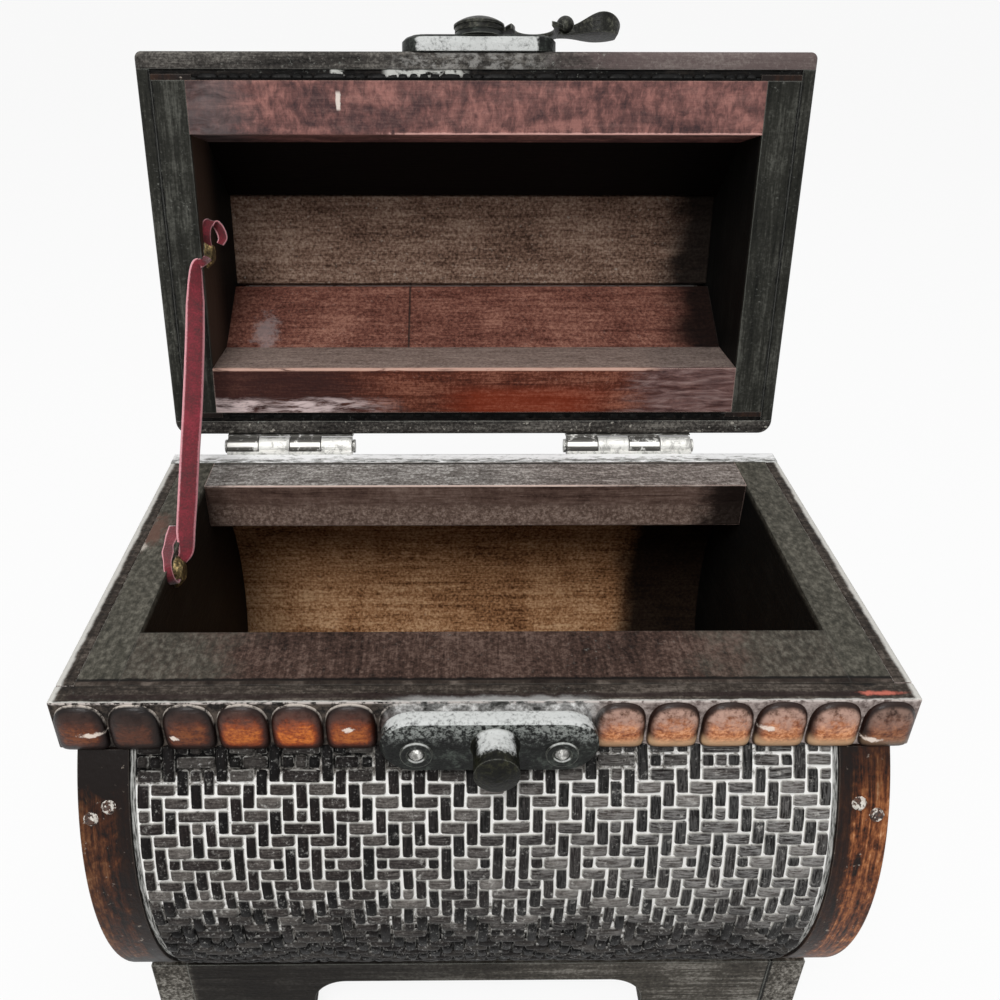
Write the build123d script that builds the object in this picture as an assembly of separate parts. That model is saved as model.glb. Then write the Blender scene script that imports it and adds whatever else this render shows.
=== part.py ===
from build123d import *
import os
from math import asin, atan2, cos, degrees, radians, sin, sqrt

# Small hinged trinket box: a barrel-shaped body with woven panels, an arched lid, a swing clasp and a ribbon stay.
# Millimetres. Z is up, X runs along the box and -Y is the front. The feet stand on Z = 0. The origin is in the
# middle of the ground that the box covers with its lid open, which is how it is drawn.

# Overall sizes
rim_width = 120.0
rim_depth = 70.0
base_height = 17.0
body_height = 65.0
open_angle = 100.0

# Small clearances between pieces
glue_line = 0.03
pin_clearance = 0.05
knuckle_clearance = 0.25
nail_clearance = 0.02

# Body: end boards, curved panels, rails and bottom
end_thickness = 6.0
side_strip = 2.6
front_strip = 3.4
barrel_radius = 42.3
barrel_drop = 33.7
core_thickness = 1.8
mat_thickness = 1.3
weave_pitch = 1.95
weave_relief = 0.55
weave_groove = 1.1
strips_in_rib = 3
band_thickness = 1.0
band_width = 7.2
rail_height = 9.0
front_rail_width = 11.4
back_rail_width = 9.0
bottom_thickness = 3.0

# Beaded strip round the body's rim
moulding_height = 8.6
bead_pitch = 7.35
bead_height = 8.2
bead_bulge = 1.5
bead_foot = 0.6
bead_gap = 0.3
bead_shoulder_width = 2.0
bead_shoulder_height = 2.5
bead_top_flange = 0.3

# Base with bracket feet
base_reveal = 3.75
base_side_thickness = 6.2
apron_thickness = 5.0
arch_width = 59.0
arch_rise = 12.0
arch_corner = 6.0
arch_flare = 2.5
side_arch_width = 30.0

# Lid
lid_gap = 0.4
lid_strip = 2.9
lid_strip_gap = 0.5
lid_strip_height = 9.0
lid_strip_round = 1.2
lid_back_round = 2.6
lid_spring = 1.5
lid_rail_width = 8.9
lid_rail_height = 13.0
lid_rail_taper = 1.4
lid_inner_height = 28.0
top_stave_width = 18.0
shoulder_step = 1.7
stave_joint = 1.0
stave_split_x = -13.5

# Hinges
pin_behind = 2.4
pin_above = 0.6
pin_radius = 1.0
knuckle_radius = 1.9
knuckle_count = 4
hinge_length = 25.0
left_hinge_inset = 22.9
right_hinge_inset = 28.9
leaf_thickness = 0.8
leaf_height = 7.6
knuckle_gap = 0.15

# Nails
nail_head_radius = 1.1
nail_head_height = 0.6
nail_shank_radius = 0.5
nail_length = 2.6
nail_head_sides = 10
nail_shank_sides = 6
nail_dome_share = 0.45
tack_head_radius = 2.9
tack_head_height = 1.3
hinge_nail_spacing = 15.0
band_nail_drop = 16.5
band_nail_step = 1.6
band_nail_spread = 2.6
lid_band_nail_rise = 14.0

# Swing clasp
clasp_x = 0.4
plate_width = 30.0
plate_height = 9.4
plate_chamfer = 0.45
catch_drop = 5.0
catch_thickness = 2.2
stud_radius = 3.1
stud_reach = 6.0
stud_drop = 4.8
stud_foot = 0.35
stud_shift = 0.8
plate_nail_spacing = 20.0
catch_nail_drop = 1.2
boss_radius = 2.2
boss_height = 0.35
lid_plate_width = 27.4
lid_plate_rise = 4.9
lid_plate_lean = 10.0
pivot_rise = 4.2
pivot_stand = 2.1
pivot_radius = 1.5
pivot_depth = 1.6
collar_radius = 4.8
collar_height = 1.0
dome_radius = 4.5
dome_height = 1.8
arm_thickness = 0.8
arm_play = 0.06
arm_eye_radius = 4.3
hook_clearance = 0.35
hook_width = 1.9
finial_radius = 1.6
finial_rise = 2.15
finial_clearance = 0.3
bill_length = 10.0
bill_width = 7.0
bill_height = 3.0

# Ribbon stay
ribbon_width = 4.4
ribbon_thickness = 0.6
stay_drop = 3.4
stay_lid_rise = 4.5
stay_wall_gap = 0.4

# Places that follow from the sizes above
half_width = rim_width / 2
half_depth = rim_depth / 2
rim_z = base_height + body_height
end_outer = half_width - side_strip
end_inner = end_outer - end_thickness
band_inner = end_outer - band_width
rail_front = half_depth - front_strip
barrel_z = rim_z - barrel_drop
strip_bottom = rim_z - moulding_height
base_half_depth = sqrt(barrel_radius**2 - (barrel_z - base_height) ** 2) + base_reveal
pin_y = half_depth + pin_behind
pin_z = rim_z + pin_above
lid_rim_z = rim_z + lid_gap
lid_radius = half_depth - lid_strip - lid_strip_gap - mat_thickness
lid_centre_z = lid_rim_z + lid_spring
knuckle_length = hinge_length / knuckle_count
hinge_place = (left_hinge_inset - half_width, half_width - right_hinge_inset)
far = 4 * rim_width


def block(x, y, z):
    """Box between the given (low, high) pairs."""
    size = [high - low for low, high in (x, y, z)]
    middle = [(high + low) / 2 for low, high in (x, y, z)]
    return Pos(*middle) * Box(*size)


def along_x(sketch, low, high):
    """Solid whose section in the YZ plane is the sketch, from one X to another."""
    return extrude(Plane.YZ.offset(low) * sketch, amount=high - low)


def window(y, z):
    """Rectangle in the YZ plane between (low, high) pairs."""
    return Pos((y[0] + y[1]) / 2, (z[0] + z[1]) / 2) * Rectangle(y[1] - y[0], z[1] - z[0])


def disc(radius, z=None):
    """Disc in the YZ plane, centred on the middle of the box at a height."""
    return Pos(0, barrel_z if z is None else z) * Circle(radius)


def barrel_y(radius, z):
    """Half depth of the barrel of a radius at a height."""
    return sqrt(radius**2 - (z - barrel_z) ** 2)


def mirrored(solid):
    """The same piece on the other end of the box."""
    return mirror(solid, Plane.YZ)


def turned(solid):
    """The same piece turned to the back of the box."""
    return Rot(0, 0, 180) * solid


def crown(radius, edge, top):
    """Arc of a shallow round crown centred on the Z axis, from its rim to its top."""
    rise = top - edge
    curve = (radius**2 + rise**2) / (2 * rise)
    half_turn = asin(min(1.0, radius / curve)) / 2
    middle = (curve * sin(half_turn), top - curve + curve * cos(half_turn))
    return ThreePointArc((radius, edge), middle, (0, top))


def dome_nail(head_radius, head_height, length):
    """Nail with its faceted head standing on the local XY plane and its shank running down Z."""
    slope = degrees(atan2(head_radius * nail_dome_share, head_height))
    head = extrude(RegularPolygon(head_radius, nail_head_sides), amount=head_height, taper=slope)
    shank = extrude(RegularPolygon(nail_shank_radius, nail_shank_sides), amount=-length)
    return head + shank


def nail_hole(length):
    """Hole for a nail's shank, a little wider and deeper than the nail, and open above."""
    outline = RegularPolygon(nail_shank_radius + nail_clearance, nail_shank_sides)
    return extrude(Plane.XY.offset(-length - nail_clearance) * outline, amount=length + nail_clearance + 1.0)


def nails(places, head_radius=nail_head_radius, head_height=nail_head_height, length=nail_length):
    """One solid nail at each place."""
    return [place * dome_nail(head_radius, head_height, length) for place in places]


def drilled(solid, places, length):
    """The piece with a nail's hole at each place."""
    for place in places:
        solid -= place * nail_hole(length)
    return solid


def facing(point, normal, x_dir=(1, 0, 0)):
    """Place at a point whose local Z looks along the normal."""
    return Plane(origin=point, x_dir=x_dir, z_dir=normal).location


# Places of the nails on the body


def band_nail_places():
    """Two nails near the top of each end band, front and back."""
    places = []
    middle = (end_inner + end_outer) / 2
    for side in (-1, 1):
        for front in (-1, 1):
            for step in (-1, 1):
                x = side * (middle + step * band_nail_spread / 2)
                z = rim_z - band_nail_drop - step * band_nail_step / 2
                y = front * barrel_y(barrel_radius + band_thickness, z)
                normal = (0, y, z - barrel_z)
                places.append(facing((x, y, z), normal))
    return places


def hinge_nail_places(centre_x, lid_side):
    """Two nails in a hinge leaf that lies on the back strip."""
    direction = 1 if lid_side else -1
    z = pin_z + direction * (knuckle_radius + (leaf_height - knuckle_radius) * 0.55)
    y = half_depth + leaf_thickness
    return [facing((centre_x + dx, y, z), (0, 1, 0)) for dx in (-hinge_nail_spacing / 2, hinge_nail_spacing / 2)]


def catch_nail_places():
    """The two nails of the catch plate, in the body's frame."""
    y = -(half_depth + bead_bulge + glue_line + catch_thickness)
    z = rim_z - catch_drop - catch_nail_drop
    return [facing((clasp_x + dx, y, z), (0, -1, 0)) for dx in (-plate_nail_spacing / 2, plate_nail_spacing / 2)]


def stay_tack_place():
    """The ribbon's tack on the inner wall of the body's left end board."""
    return facing((-end_inner, 0, rim_z - stay_drop), (1, 0, 0), (0, 1, 0))


# Body


def end_board():
    """Right end board: narrow behind the beaded strip, then the full barrel outline."""
    neck = window((-rail_front, rail_front), (strip_bottom - glue_line, rim_z))
    barrel = disc(barrel_radius) & window((-far, far), (base_height, strip_bottom - glue_line))
    return along_x(neck + barrel, end_inner, end_outer)


def body_rail(front, width):
    """Rail along the front (-1) or back (1) of the mouth."""
    y = sorted((front * rail_front, front * (rail_front - width)))
    return block((-end_inner, end_inner), y, (rim_z - rail_height, rim_z))


def barrel_skin(inner, outer, front, x_low, x_high, z_low, z_high):
    """Curved skin on the front or back of the barrel between two radii."""
    ring = disc(outer) - disc(inner)
    section = ring & window(sorted((front * 20.0, front * far)), (z_low, z_high))
    return along_x(section, x_low, x_high)


def core_panel(front):
    """Thin board bent round the barrel between the end boards."""
    top = rim_z - rail_height - glue_line
    inner = barrel_radius - core_thickness
    return barrel_skin(inner, barrel_radius, front, -end_inner, end_inner, base_height, top)


def weave_grooves(radius, z, start, end):
    """Grooves between the ribs of a mat, which are each a few strips wide, on an arc between two angles."""
    rib = strips_in_rib * weave_pitch
    count = max(2, round(radius * radians(end - start) / rib))
    groove = Polygon(
        (0.3, weave_groove / 2 + 0.2),
        (-weave_relief, weave_groove / 4),
        (-weave_relief, -weave_groove / 4),
        (0.3, -weave_groove / 2 - 0.2),
        align=None,
    )
    angles = [start + (end - start) * i / count for i in range(1, count)]
    return [Pos(0, z) * Rot(0, 0, angle) * Pos(radius, 0) * groove for angle in angles]


def woven_mat(front):
    """Woven mat over the core panel, between the end bands, with the ribs of its weave."""
    outer = barrel_radius + mat_thickness
    reach = band_inner - glue_line
    top = strip_bottom - glue_line
    ring = disc(outer) - disc(barrel_radius)
    section = ring & window(sorted((front * 20.0, front * far)), (base_height, top))
    low_angle = -degrees(asin((barrel_z - base_height) / outer))
    high_angle = degrees(asin((top - barrel_z) / outer))
    if front < 0:
        low_angle, high_angle = 180 - high_angle, 180 - low_angle
    section -= weave_grooves(outer, barrel_z, low_angle, high_angle)
    return along_x(section, -reach, reach)


def end_band(front):
    """Band over the right end board's curved edge and the core panel's end."""
    outer = barrel_radius + band_thickness
    return barrel_skin(barrel_radius, outer, front, band_inner, end_outer, base_height, strip_bottom - glue_line)


def bottom_board():
    """Bottom of the box, with its long edges cut to the inside of the barrel."""
    inner = disc(barrel_radius - core_thickness - glue_line)
    return along_x(inner & window((-far, far), (base_height, base_height + bottom_thickness)), -end_inner, end_inner)


# Strips round the rims


def bead(pitch):
    """Cushion-shaped bead with cut shoulders on the local XZ plane, bulging towards -Y below Z = 0."""
    half = (pitch - bead_gap) / 2
    top = -bead_top_flange
    low = top - bead_height
    root = 0.4
    upright = make_face(
        [
            ThreePointArc((-bead_foot, low), (-bead_bulge, (top + low) / 2), (0, top)),
            Polyline((0, top), (root, top), (root, low), (-bead_foot, low)),
        ]
    )
    level = make_face(
        [
            ThreePointArc((-half, 0), (0, -bead_bulge - 0.2), (half, 0)),
            Polyline((half, 0), (half, root), (-half, root), (-half, 0)),
        ]
    )
    shoulder = top - bead_shoulder_height
    outline = Polygon(
        (-half, low),
        (half, low),
        (half, shoulder),
        (half - bead_shoulder_width, top),
        (bead_shoulder_width - half, top),
        (-half, shoulder),
        align=None,
    )
    front = extrude(Plane.XZ.offset(-root) * outline, amount=bead_bulge + 2 * root)
    return along_x(upright, -half, half) & extrude(Plane.XY.offset(low) * level, amount=bead_height) & front


def beaded_strip(length, thickness):
    """Flat strip with a row of beads on its face, seen from -Y, with its top at Z = 0 and its face at Y = 0."""
    count = max(1, round((length - bead_gap) / bead_pitch))
    pitch = (length - bead_gap) / count
    strip = block((-length / 2, length / 2), (0, thickness), (-moulding_height, 0))
    first = -pitch * (count - 1) / 2
    return strip + [Pos(first + pitch * i, 0, 0) * bead(pitch) for i in range(count)]


def front_moulding():
    """Beaded strip along the front of the rim."""
    strip = Pos(0, -half_depth, rim_z) * beaded_strip(rim_width, front_strip - glue_line)
    return drilled(strip, catch_nail_places(), catch_thickness + bead_bulge + nail_length)


def side_moulding():
    """Beaded strip along the right side of the rim, between the front and back strips."""
    length = 2 * (rail_front - glue_line)
    return Pos(half_width, 0, rim_z) * Rot(0, 0, 90) * beaded_strip(length, side_strip - glue_line)


def back_moulding():
    """Plain strip along the back of the rim, which carries the hinges."""
    strip = block(
        (-half_width, half_width), (rail_front + glue_line, half_depth), (strip_bottom, rim_z)
    )
    places = [place for x in hinge_place for place in hinge_nail_places(x, False)]
    return drilled(strip, places, leaf_thickness + nail_length)


# Base


def arch_sketch(width):
    """Outline of an arch cut into a base board: flat top, round corners and flared feet."""
    half = width / 2
    flare = half + arch_flare
    return make_face(
        [
            Polyline((-flare, -1.0), (-flare, 0)),
            ThreePointArc((-flare, 0), (-half - 0.4, arch_rise * 0.2), (-half, arch_rise - arch_corner)),
            RadiusArc((-half, arch_rise - arch_corner), (-half + arch_corner, arch_rise), arch_corner),
            Line((-half + arch_corner, arch_rise), (half - arch_corner, arch_rise)),
            RadiusArc((half - arch_corner, arch_rise), (half, arch_rise - arch_corner), arch_corner),
            ThreePointArc((half, arch_rise - arch_corner), (half + 0.4, arch_rise * 0.2), (flare, 0)),
            Polyline((flare, 0), (flare, -1.0), (-flare, -1.0)),
        ]
    )


def base_side():
    """Right base board, its front and back edges showing beside the aprons."""
    inner = end_outer - base_side_thickness
    board = block((inner, end_outer), (-base_half_depth, base_half_depth), (0, base_height))
    arch = extrude(Plane.YZ.offset(inner - 1) * arch_sketch(side_arch_width), amount=base_side_thickness + 2)
    return board - arch


def base_apron():
    """Front apron between the side boards."""
    reach = end_outer - base_side_thickness
    back = -base_half_depth + apron_thickness
    board = block((-reach, reach), (-base_half_depth, back), (0, base_height))
    arch = extrude(Plane.XZ.offset(-back - 1) * arch_sketch(arch_width), amount=apron_thickness + 2)
    return board - arch


# Lid, drawn closed and then swung open


def opened(solid):
    """A lid piece swung from closed to the open pose."""
    hinge = Axis((0, pin_y, pin_z), (-1, 0, 0))
    if isinstance(solid, list):
        return [piece.rotate(hinge, open_angle) for piece in solid]
    return solid.rotate(hinge, open_angle)


def opened_point(point):
    """Where a point of the closed lid goes when the lid is open."""
    hinge = Vector(0, pin_y, pin_z)
    return (Vector(*point) - hinge).rotate(Axis.X, -open_angle) + hinge


def arch(radius):
    """Section of the lid out to a radius: straight up from the rim, then round."""
    foot = window((-radius, radius), (lid_rim_z, lid_centre_z))
    dome = disc(radius, lid_centre_z) & window((-far, far), (lid_centre_z, far))
    return foot + dome


def lid_end_board():
    """Right end board of the lid."""
    return along_x(arch(lid_radius), end_inner, end_outer)


def lid_rail():
    """Front rail of the lid, its inner face leaning a little into the lid."""
    inner = -(lid_radius - lid_rail_width)
    top = lid_rim_z + lid_rail_height
    outline = make_face(
        Polyline(
            (inner, lid_rim_z), (inner + lid_rail_taper, top), (-far, top), (-far, lid_rim_z), (inner, lid_rim_z)
        )
    )
    return along_x(outline & arch(lid_radius), -end_inner, end_inner)


def shoulder_point():
    """Inner edge where the front slanting stave meets the joint below the top stave."""
    return Vector(-top_stave_width / 2 - 0.5, lid_rim_z + lid_inner_height - shoulder_step)


def joint_direction():
    """Unit vector of the joint line beside the top stave, from the arch's centre outwards."""
    return (shoulder_point() - Vector(0, lid_centre_z)).normalized()


def slanted_stave(low, high):
    """Stave between the front rail and the top stave, from one X to another."""
    inner = -(lid_radius - lid_rail_width) + lid_rail_taper
    foot = lid_rim_z + lid_rail_height + glue_line
    shoulder = shoulder_point()
    outside = shoulder + joint_direction() * far
    outline = make_face(
        Polyline(
            (inner, foot), (shoulder.X, shoulder.Y), (outside.X, outside.Y), (-far, foot), (inner, foot)
        )
    )
    return along_x(outline & arch(lid_radius), low, high)


def top_stave():
    """Flat-bottomed stave along the top of the lid."""
    direction = joint_direction()
    across = Vector(-direction.Y, direction.X) * -stave_joint
    bottom = lid_rim_z + lid_inner_height
    start = shoulder_point() + across
    rise = (bottom - start.Y) / direction.Y
    near = start + direction * rise
    outside = near + direction * far
    outline = make_face(
        Polyline(
            (near.X, near.Y), (outside.X, outside.Y), (-outside.X, outside.Y), (-near.X, near.Y), (near.X, near.Y)
        )
    )
    return along_x(outline & arch(lid_radius), -end_inner, end_inner)


def lid_mat():
    """Woven mat over the lid, between the end bands."""
    reach = band_inner - glue_line
    outer = lid_radius + mat_thickness
    section = arch(outer) - arch(lid_radius) - weave_grooves(outer, lid_centre_z, 0, 180)
    return along_x(section, -reach, reach)


def lid_band():
    """Band over the edge of the lid's right end board."""
    return along_x(arch(lid_radius + band_thickness) - arch(lid_radius), band_inner, end_outer)


def lid_long_strip(corner_round):
    """Plain rounded strip along the front of the lid's rim."""
    strip = block(
        (-half_width, half_width),
        (-half_depth, -half_depth + lid_strip),
        (lid_rim_z, lid_rim_z + lid_strip_height),
    )
    strip = fillet(strip.edges().filter_by(Axis.Z).group_by(Axis.Y)[0], corner_round)
    return fillet(strip.edges().filter_by(Axis.X).group_by(Axis.Y)[0], lid_strip_round)


def lid_side_strip():
    """Plain rounded strip along the right end of the lid's rim."""
    reach = half_depth - lid_strip - glue_line
    strip = block(
        (end_outer, half_width), (-reach, reach), (lid_rim_z, lid_rim_z + lid_strip_height)
    )
    return fillet(strip.edges().filter_by(Axis.Y).group_by(Axis.X)[-1], lid_strip_round)


def lid_band_nail_places():
    """Two nails near each foot of the lid's end bands."""
    places = []
    middle = (end_inner + end_outer) / 2
    radius = lid_radius + band_thickness
    for side in (-1, 1):
        for front in (-1, 1):
            for step in (-1, 1):
                x = side * (middle + step * band_nail_spread / 2)
                rise = lid_band_nail_rise + step * band_nail_step / 2 - lid_spring
                tilt = asin(rise / radius)
                normal = (0, front * cos(tilt), sin(tilt))
                point = (x, front * radius * cos(tilt), lid_centre_z + rise)
                places.append(facing(point, normal))
    return places


def lid_stay_tack_place():
    """The ribbon's tack on the inner wall of the lid's left end board."""
    return facing((-end_inner, 0, lid_rim_z + stay_lid_rise), (1, 0, 0), (0, 1, 0))


# Hinges


def leaf(centre_x, lid_side):
    """Hinge leaf on the back strip with every second knuckle, the pin's bore and room for the other knuckles."""
    direction = 1 if lid_side else -1
    edge = pin_z + direction * pin_clearance
    z = sorted((edge, pin_z + direction * leaf_height))
    left = centre_x - hinge_length / 2
    y = (half_depth + glue_line, half_depth + leaf_thickness)
    plate = block((left, left + hinge_length), y, z)
    own = 0 if lid_side else 1
    for i in range(knuckle_count):
        x = left + knuckle_length * (i + 0.5)
        place = Pos(x, pin_y, pin_z) * Rot(0, 90, 0)
        if i % 2 == own:
            plate += place * Cylinder(knuckle_radius, knuckle_length - knuckle_gap)
        else:
            plate -= place * Cylinder(knuckle_radius + knuckle_clearance, knuckle_length + knuckle_gap)
    plate -= Pos(centre_x, pin_y, pin_z) * Rot(0, 90, 0) * Cylinder(pin_radius + pin_clearance, 2 * hinge_length)
    return drilled(plate, hinge_nail_places(centre_x, lid_side), leaf_thickness)


def hinge_pin(centre_x):
    """Pin through the knuckles of one hinge, with a low head at each end."""
    place = Pos(centre_x, pin_y, pin_z) * Rot(0, 90, 0)
    pin = Cylinder(pin_radius, hinge_length + 2 * knuckle_gap)
    heads = [
        Pos(0, 0, end * (hinge_length / 2 + knuckle_gap + 0.2)) * Cylinder(pin_radius * 1.35, 0.4) for end in (-1, 1)
    ]
    return place * (pin + heads)


# Clasp


def pill_plate(width, height, thickness):
    """Plate with round ends on the local XY plane, its front edges chamfered."""
    plate = extrude(SlotOverall(width, height), amount=thickness)
    return chamfer(plate.edges().group_by(Axis.Z)[-1], plate_chamfer)


def nail_boss():
    """Raised ring round a nail's head."""
    ring = Cylinder(boss_radius, boss_height) - Cylinder(nail_head_radius + 0.2, boss_height)
    return Pos(0, 0, boss_height / 2) * ring


def catch_plate():
    """Plate on the beaded strip that carries the stud."""
    back = -(half_depth + bead_bulge + glue_line)
    plate = facing((clasp_x, back, rim_z - catch_drop), (0, -1, 0)) * pill_plate(
        plate_width, plate_height, catch_thickness
    )
    plate += [place * nail_boss() for place in catch_nail_places()]
    plate -= stud_place() * Pos(0, 0, -catch_thickness / 2) * Cylinder(pivot_radius + nail_clearance, catch_thickness)
    return drilled(plate, catch_nail_places(), catch_thickness)


def stud_place():
    """Foot of the stud on the face of the catch plate."""
    y = -(half_depth + bead_bulge + glue_line + catch_thickness)
    return facing((clasp_x + stud_shift, y, rim_z - stud_drop), (0, -1, 0))


def catch_stud():
    """Thick stud with a domed end and a tenon through the catch plate."""
    dome = stud_reach * 0.15
    profile = Polyline(
        (0, stud_reach),
        (0, -catch_thickness),
        (pivot_radius, -catch_thickness),
        (pivot_radius, 0),
        (stud_radius + stud_foot, 0),
        (stud_radius, stud_foot * 2),
        (stud_radius, stud_reach - dome),
    )
    end = crown(stud_radius, stud_reach - dome, stud_reach)
    return stud_place() * revolve(Plane.XZ * make_face([profile, end]), Axis.Z)


def pivot_place():
    """Point where the arm's pivot leaves the leaning face of the lid plate, with the lid closed."""
    lean = radians(lid_plate_lean)
    point = (clasp_x, -half_depth - pivot_stand, lid_rim_z + pivot_rise)
    return facing(point, (0, -cos(lean), sin(lean)))


def lid_plate_nail_places():
    """The two nails of the lid plate, square to its leaning face."""
    return [pivot_place() * Pos(dx, 0, 0) for dx in (-plate_nail_spacing / 2, plate_nail_spacing / 2)]


def lid_plate():
    """Wedge-backed plate on the lid's front strip, with a collar for the arm."""
    shift = (lid_plate_rise - pivot_rise) / cos(radians(lid_plate_lean))
    thickness = 2 * pivot_stand
    height = plate_height
    plate = pivot_place() * Pos(0, shift, -thickness) * pill_plate(lid_plate_width, height, thickness)
    front = -half_depth - glue_line
    plate &= block((-far, far), (-far, front), (lid_rim_z, far))
    collar = Pos(0, 0, collar_height / 2) * Cone(collar_radius, collar_radius - 0.6, collar_height)
    plate += pivot_place() * collar
    plate += [place * nail_boss() for place in lid_plate_nail_places()]
    bore = Cylinder(pivot_radius + nail_clearance, pivot_depth + 2 * collar_height)
    plate -= pivot_place() * Pos(0, 0, collar_height - pivot_depth / 2) * bore
    return drilled(plate, lid_plate_nail_places(), 2 * pivot_stand)


def pivot_rivet():
    """Domed rivet that holds the arm on the lid plate."""
    seat = collar_height + arm_thickness + 2 * arm_play
    profile = Polyline(
        (0, seat + dome_height),
        (0, -pivot_depth + nail_clearance),
        (pivot_radius, -pivot_depth + nail_clearance),
        (pivot_radius, seat),
        (dome_radius, seat),
        (dome_radius, seat + 0.4),
    )
    end = crown(dome_radius, seat + 0.4, seat + dome_height)
    return pivot_place() * revolve(Plane.XZ * make_face([profile, end]), Axis.Z)


def stud_distance():
    """Distance from the pivot to the stud's axis, in the leaning plane of the hanging arm, with the lid closed."""
    lean = radians(lid_plate_lean)
    arm_middle = collar_height + arm_play + arm_thickness / 2
    drop = (pivot_rise + lid_gap + stud_drop + arm_middle * sin(lean)) / cos(lean)
    return sqrt(drop**2 + stud_shift**2)


def arm_outline():
    """Plan of the arm on the local XY plane, pointing along X: eye, neck and hook, open towards -Y."""
    reach = stud_distance()
    inner = stud_radius + hook_clearance
    outer = inner + hook_width
    neck = make_face(
        Polyline(
            (-0.5, arm_eye_radius - 0.4), (reach, outer - 0.2), (reach, 0.5), (2.0, -2.0), (-0.5, arm_eye_radius - 0.4)
        )
    )
    tip = Pos(reach + outer + 0.6, 0.4) * Rectangle(3.6, 3.2)
    outline = Circle(arm_eye_radius) + neck + Pos(reach, 0) * Circle(outer) + tip
    outline -= Pos(reach, 0) * Circle(inner)
    swept = Circle(reach + inner) - Circle(reach - inner)
    below = Pos(0, -far / 2) * Rectangle(far, far)
    return outline - (swept & below) - Circle(pivot_radius + pin_clearance + nail_clearance)


def arm_bill():
    """Spoon-shaped finger piece at the end of the arm."""
    start = stud_distance() + stud_radius + hook_clearance + hook_width - 1.2
    end = start + bill_length + 1.0
    broad = start + 7.0
    top = collar_height + bill_height
    side = make_face(
        [
            Spline((start, 2.4), (start + 2.2, 2.0), (broad, top - 0.3), (end - 1.4, top - 0.6), (end, 2.2)),
            Polyline((end, 2.2), (end - 0.6, 0.5), (start + 4.4, 0.5), (start, 0.6), (start, 2.4)),
        ]
    )
    plan = make_face(
        [
            Spline((start, -1.5), (start + 2.6, -1.6), (broad, -bill_width / 2), (end - 0.6, -1.8), (end, 0)),
            Spline((end, 0), (end - 0.6, 1.8), (broad, bill_width / 2), (start + 2.6, 1.6), (start, 1.5)),
            Line((start, 1.5), (start, -1.5)),
        ]
    )
    upright = extrude(Plane.XZ.offset(-bill_width) * side, amount=2 * bill_width)
    return upright & extrude(Plane.XY.offset(-3) * plan, amount=top + 6)


def latch_arm():
    """Swing arm with its hook, finial ball and bill, swung to the right as drawn."""
    base = collar_height + arm_play
    plate = extrude(Plane.XY.offset(base) * arm_outline(), amount=arm_thickness)
    reach = stud_distance() + stud_radius + hook_clearance + finial_radius + finial_clearance
    drop = -0.8
    ball = Pos(sqrt(reach**2 - drop**2), drop, finial_rise) * Sphere(finial_radius)
    return pivot_place() * (plate + ball + arm_bill())


# Ribbon stay


def ribbon_stay():
    """Flat ribbon, straight and tight from the body's tack to the tack in the open lid."""
    x = -end_inner + stay_wall_gap + ribbon_width / 2
    low = Vector(x, 0, rim_z - stay_drop)
    high = opened_point((x, 0, lid_rim_z + stay_lid_rise))
    run = high - low
    along = run.normalized()
    start = low + along * tack_head_radius
    length = run.length - 2 * tack_head_radius
    face = Plane(origin=start, x_dir=(1, 0, 0), z_dir=along) * Rectangle(ribbon_width, ribbon_thickness)
    return extrude(face, amount=length, dir=along)


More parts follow.
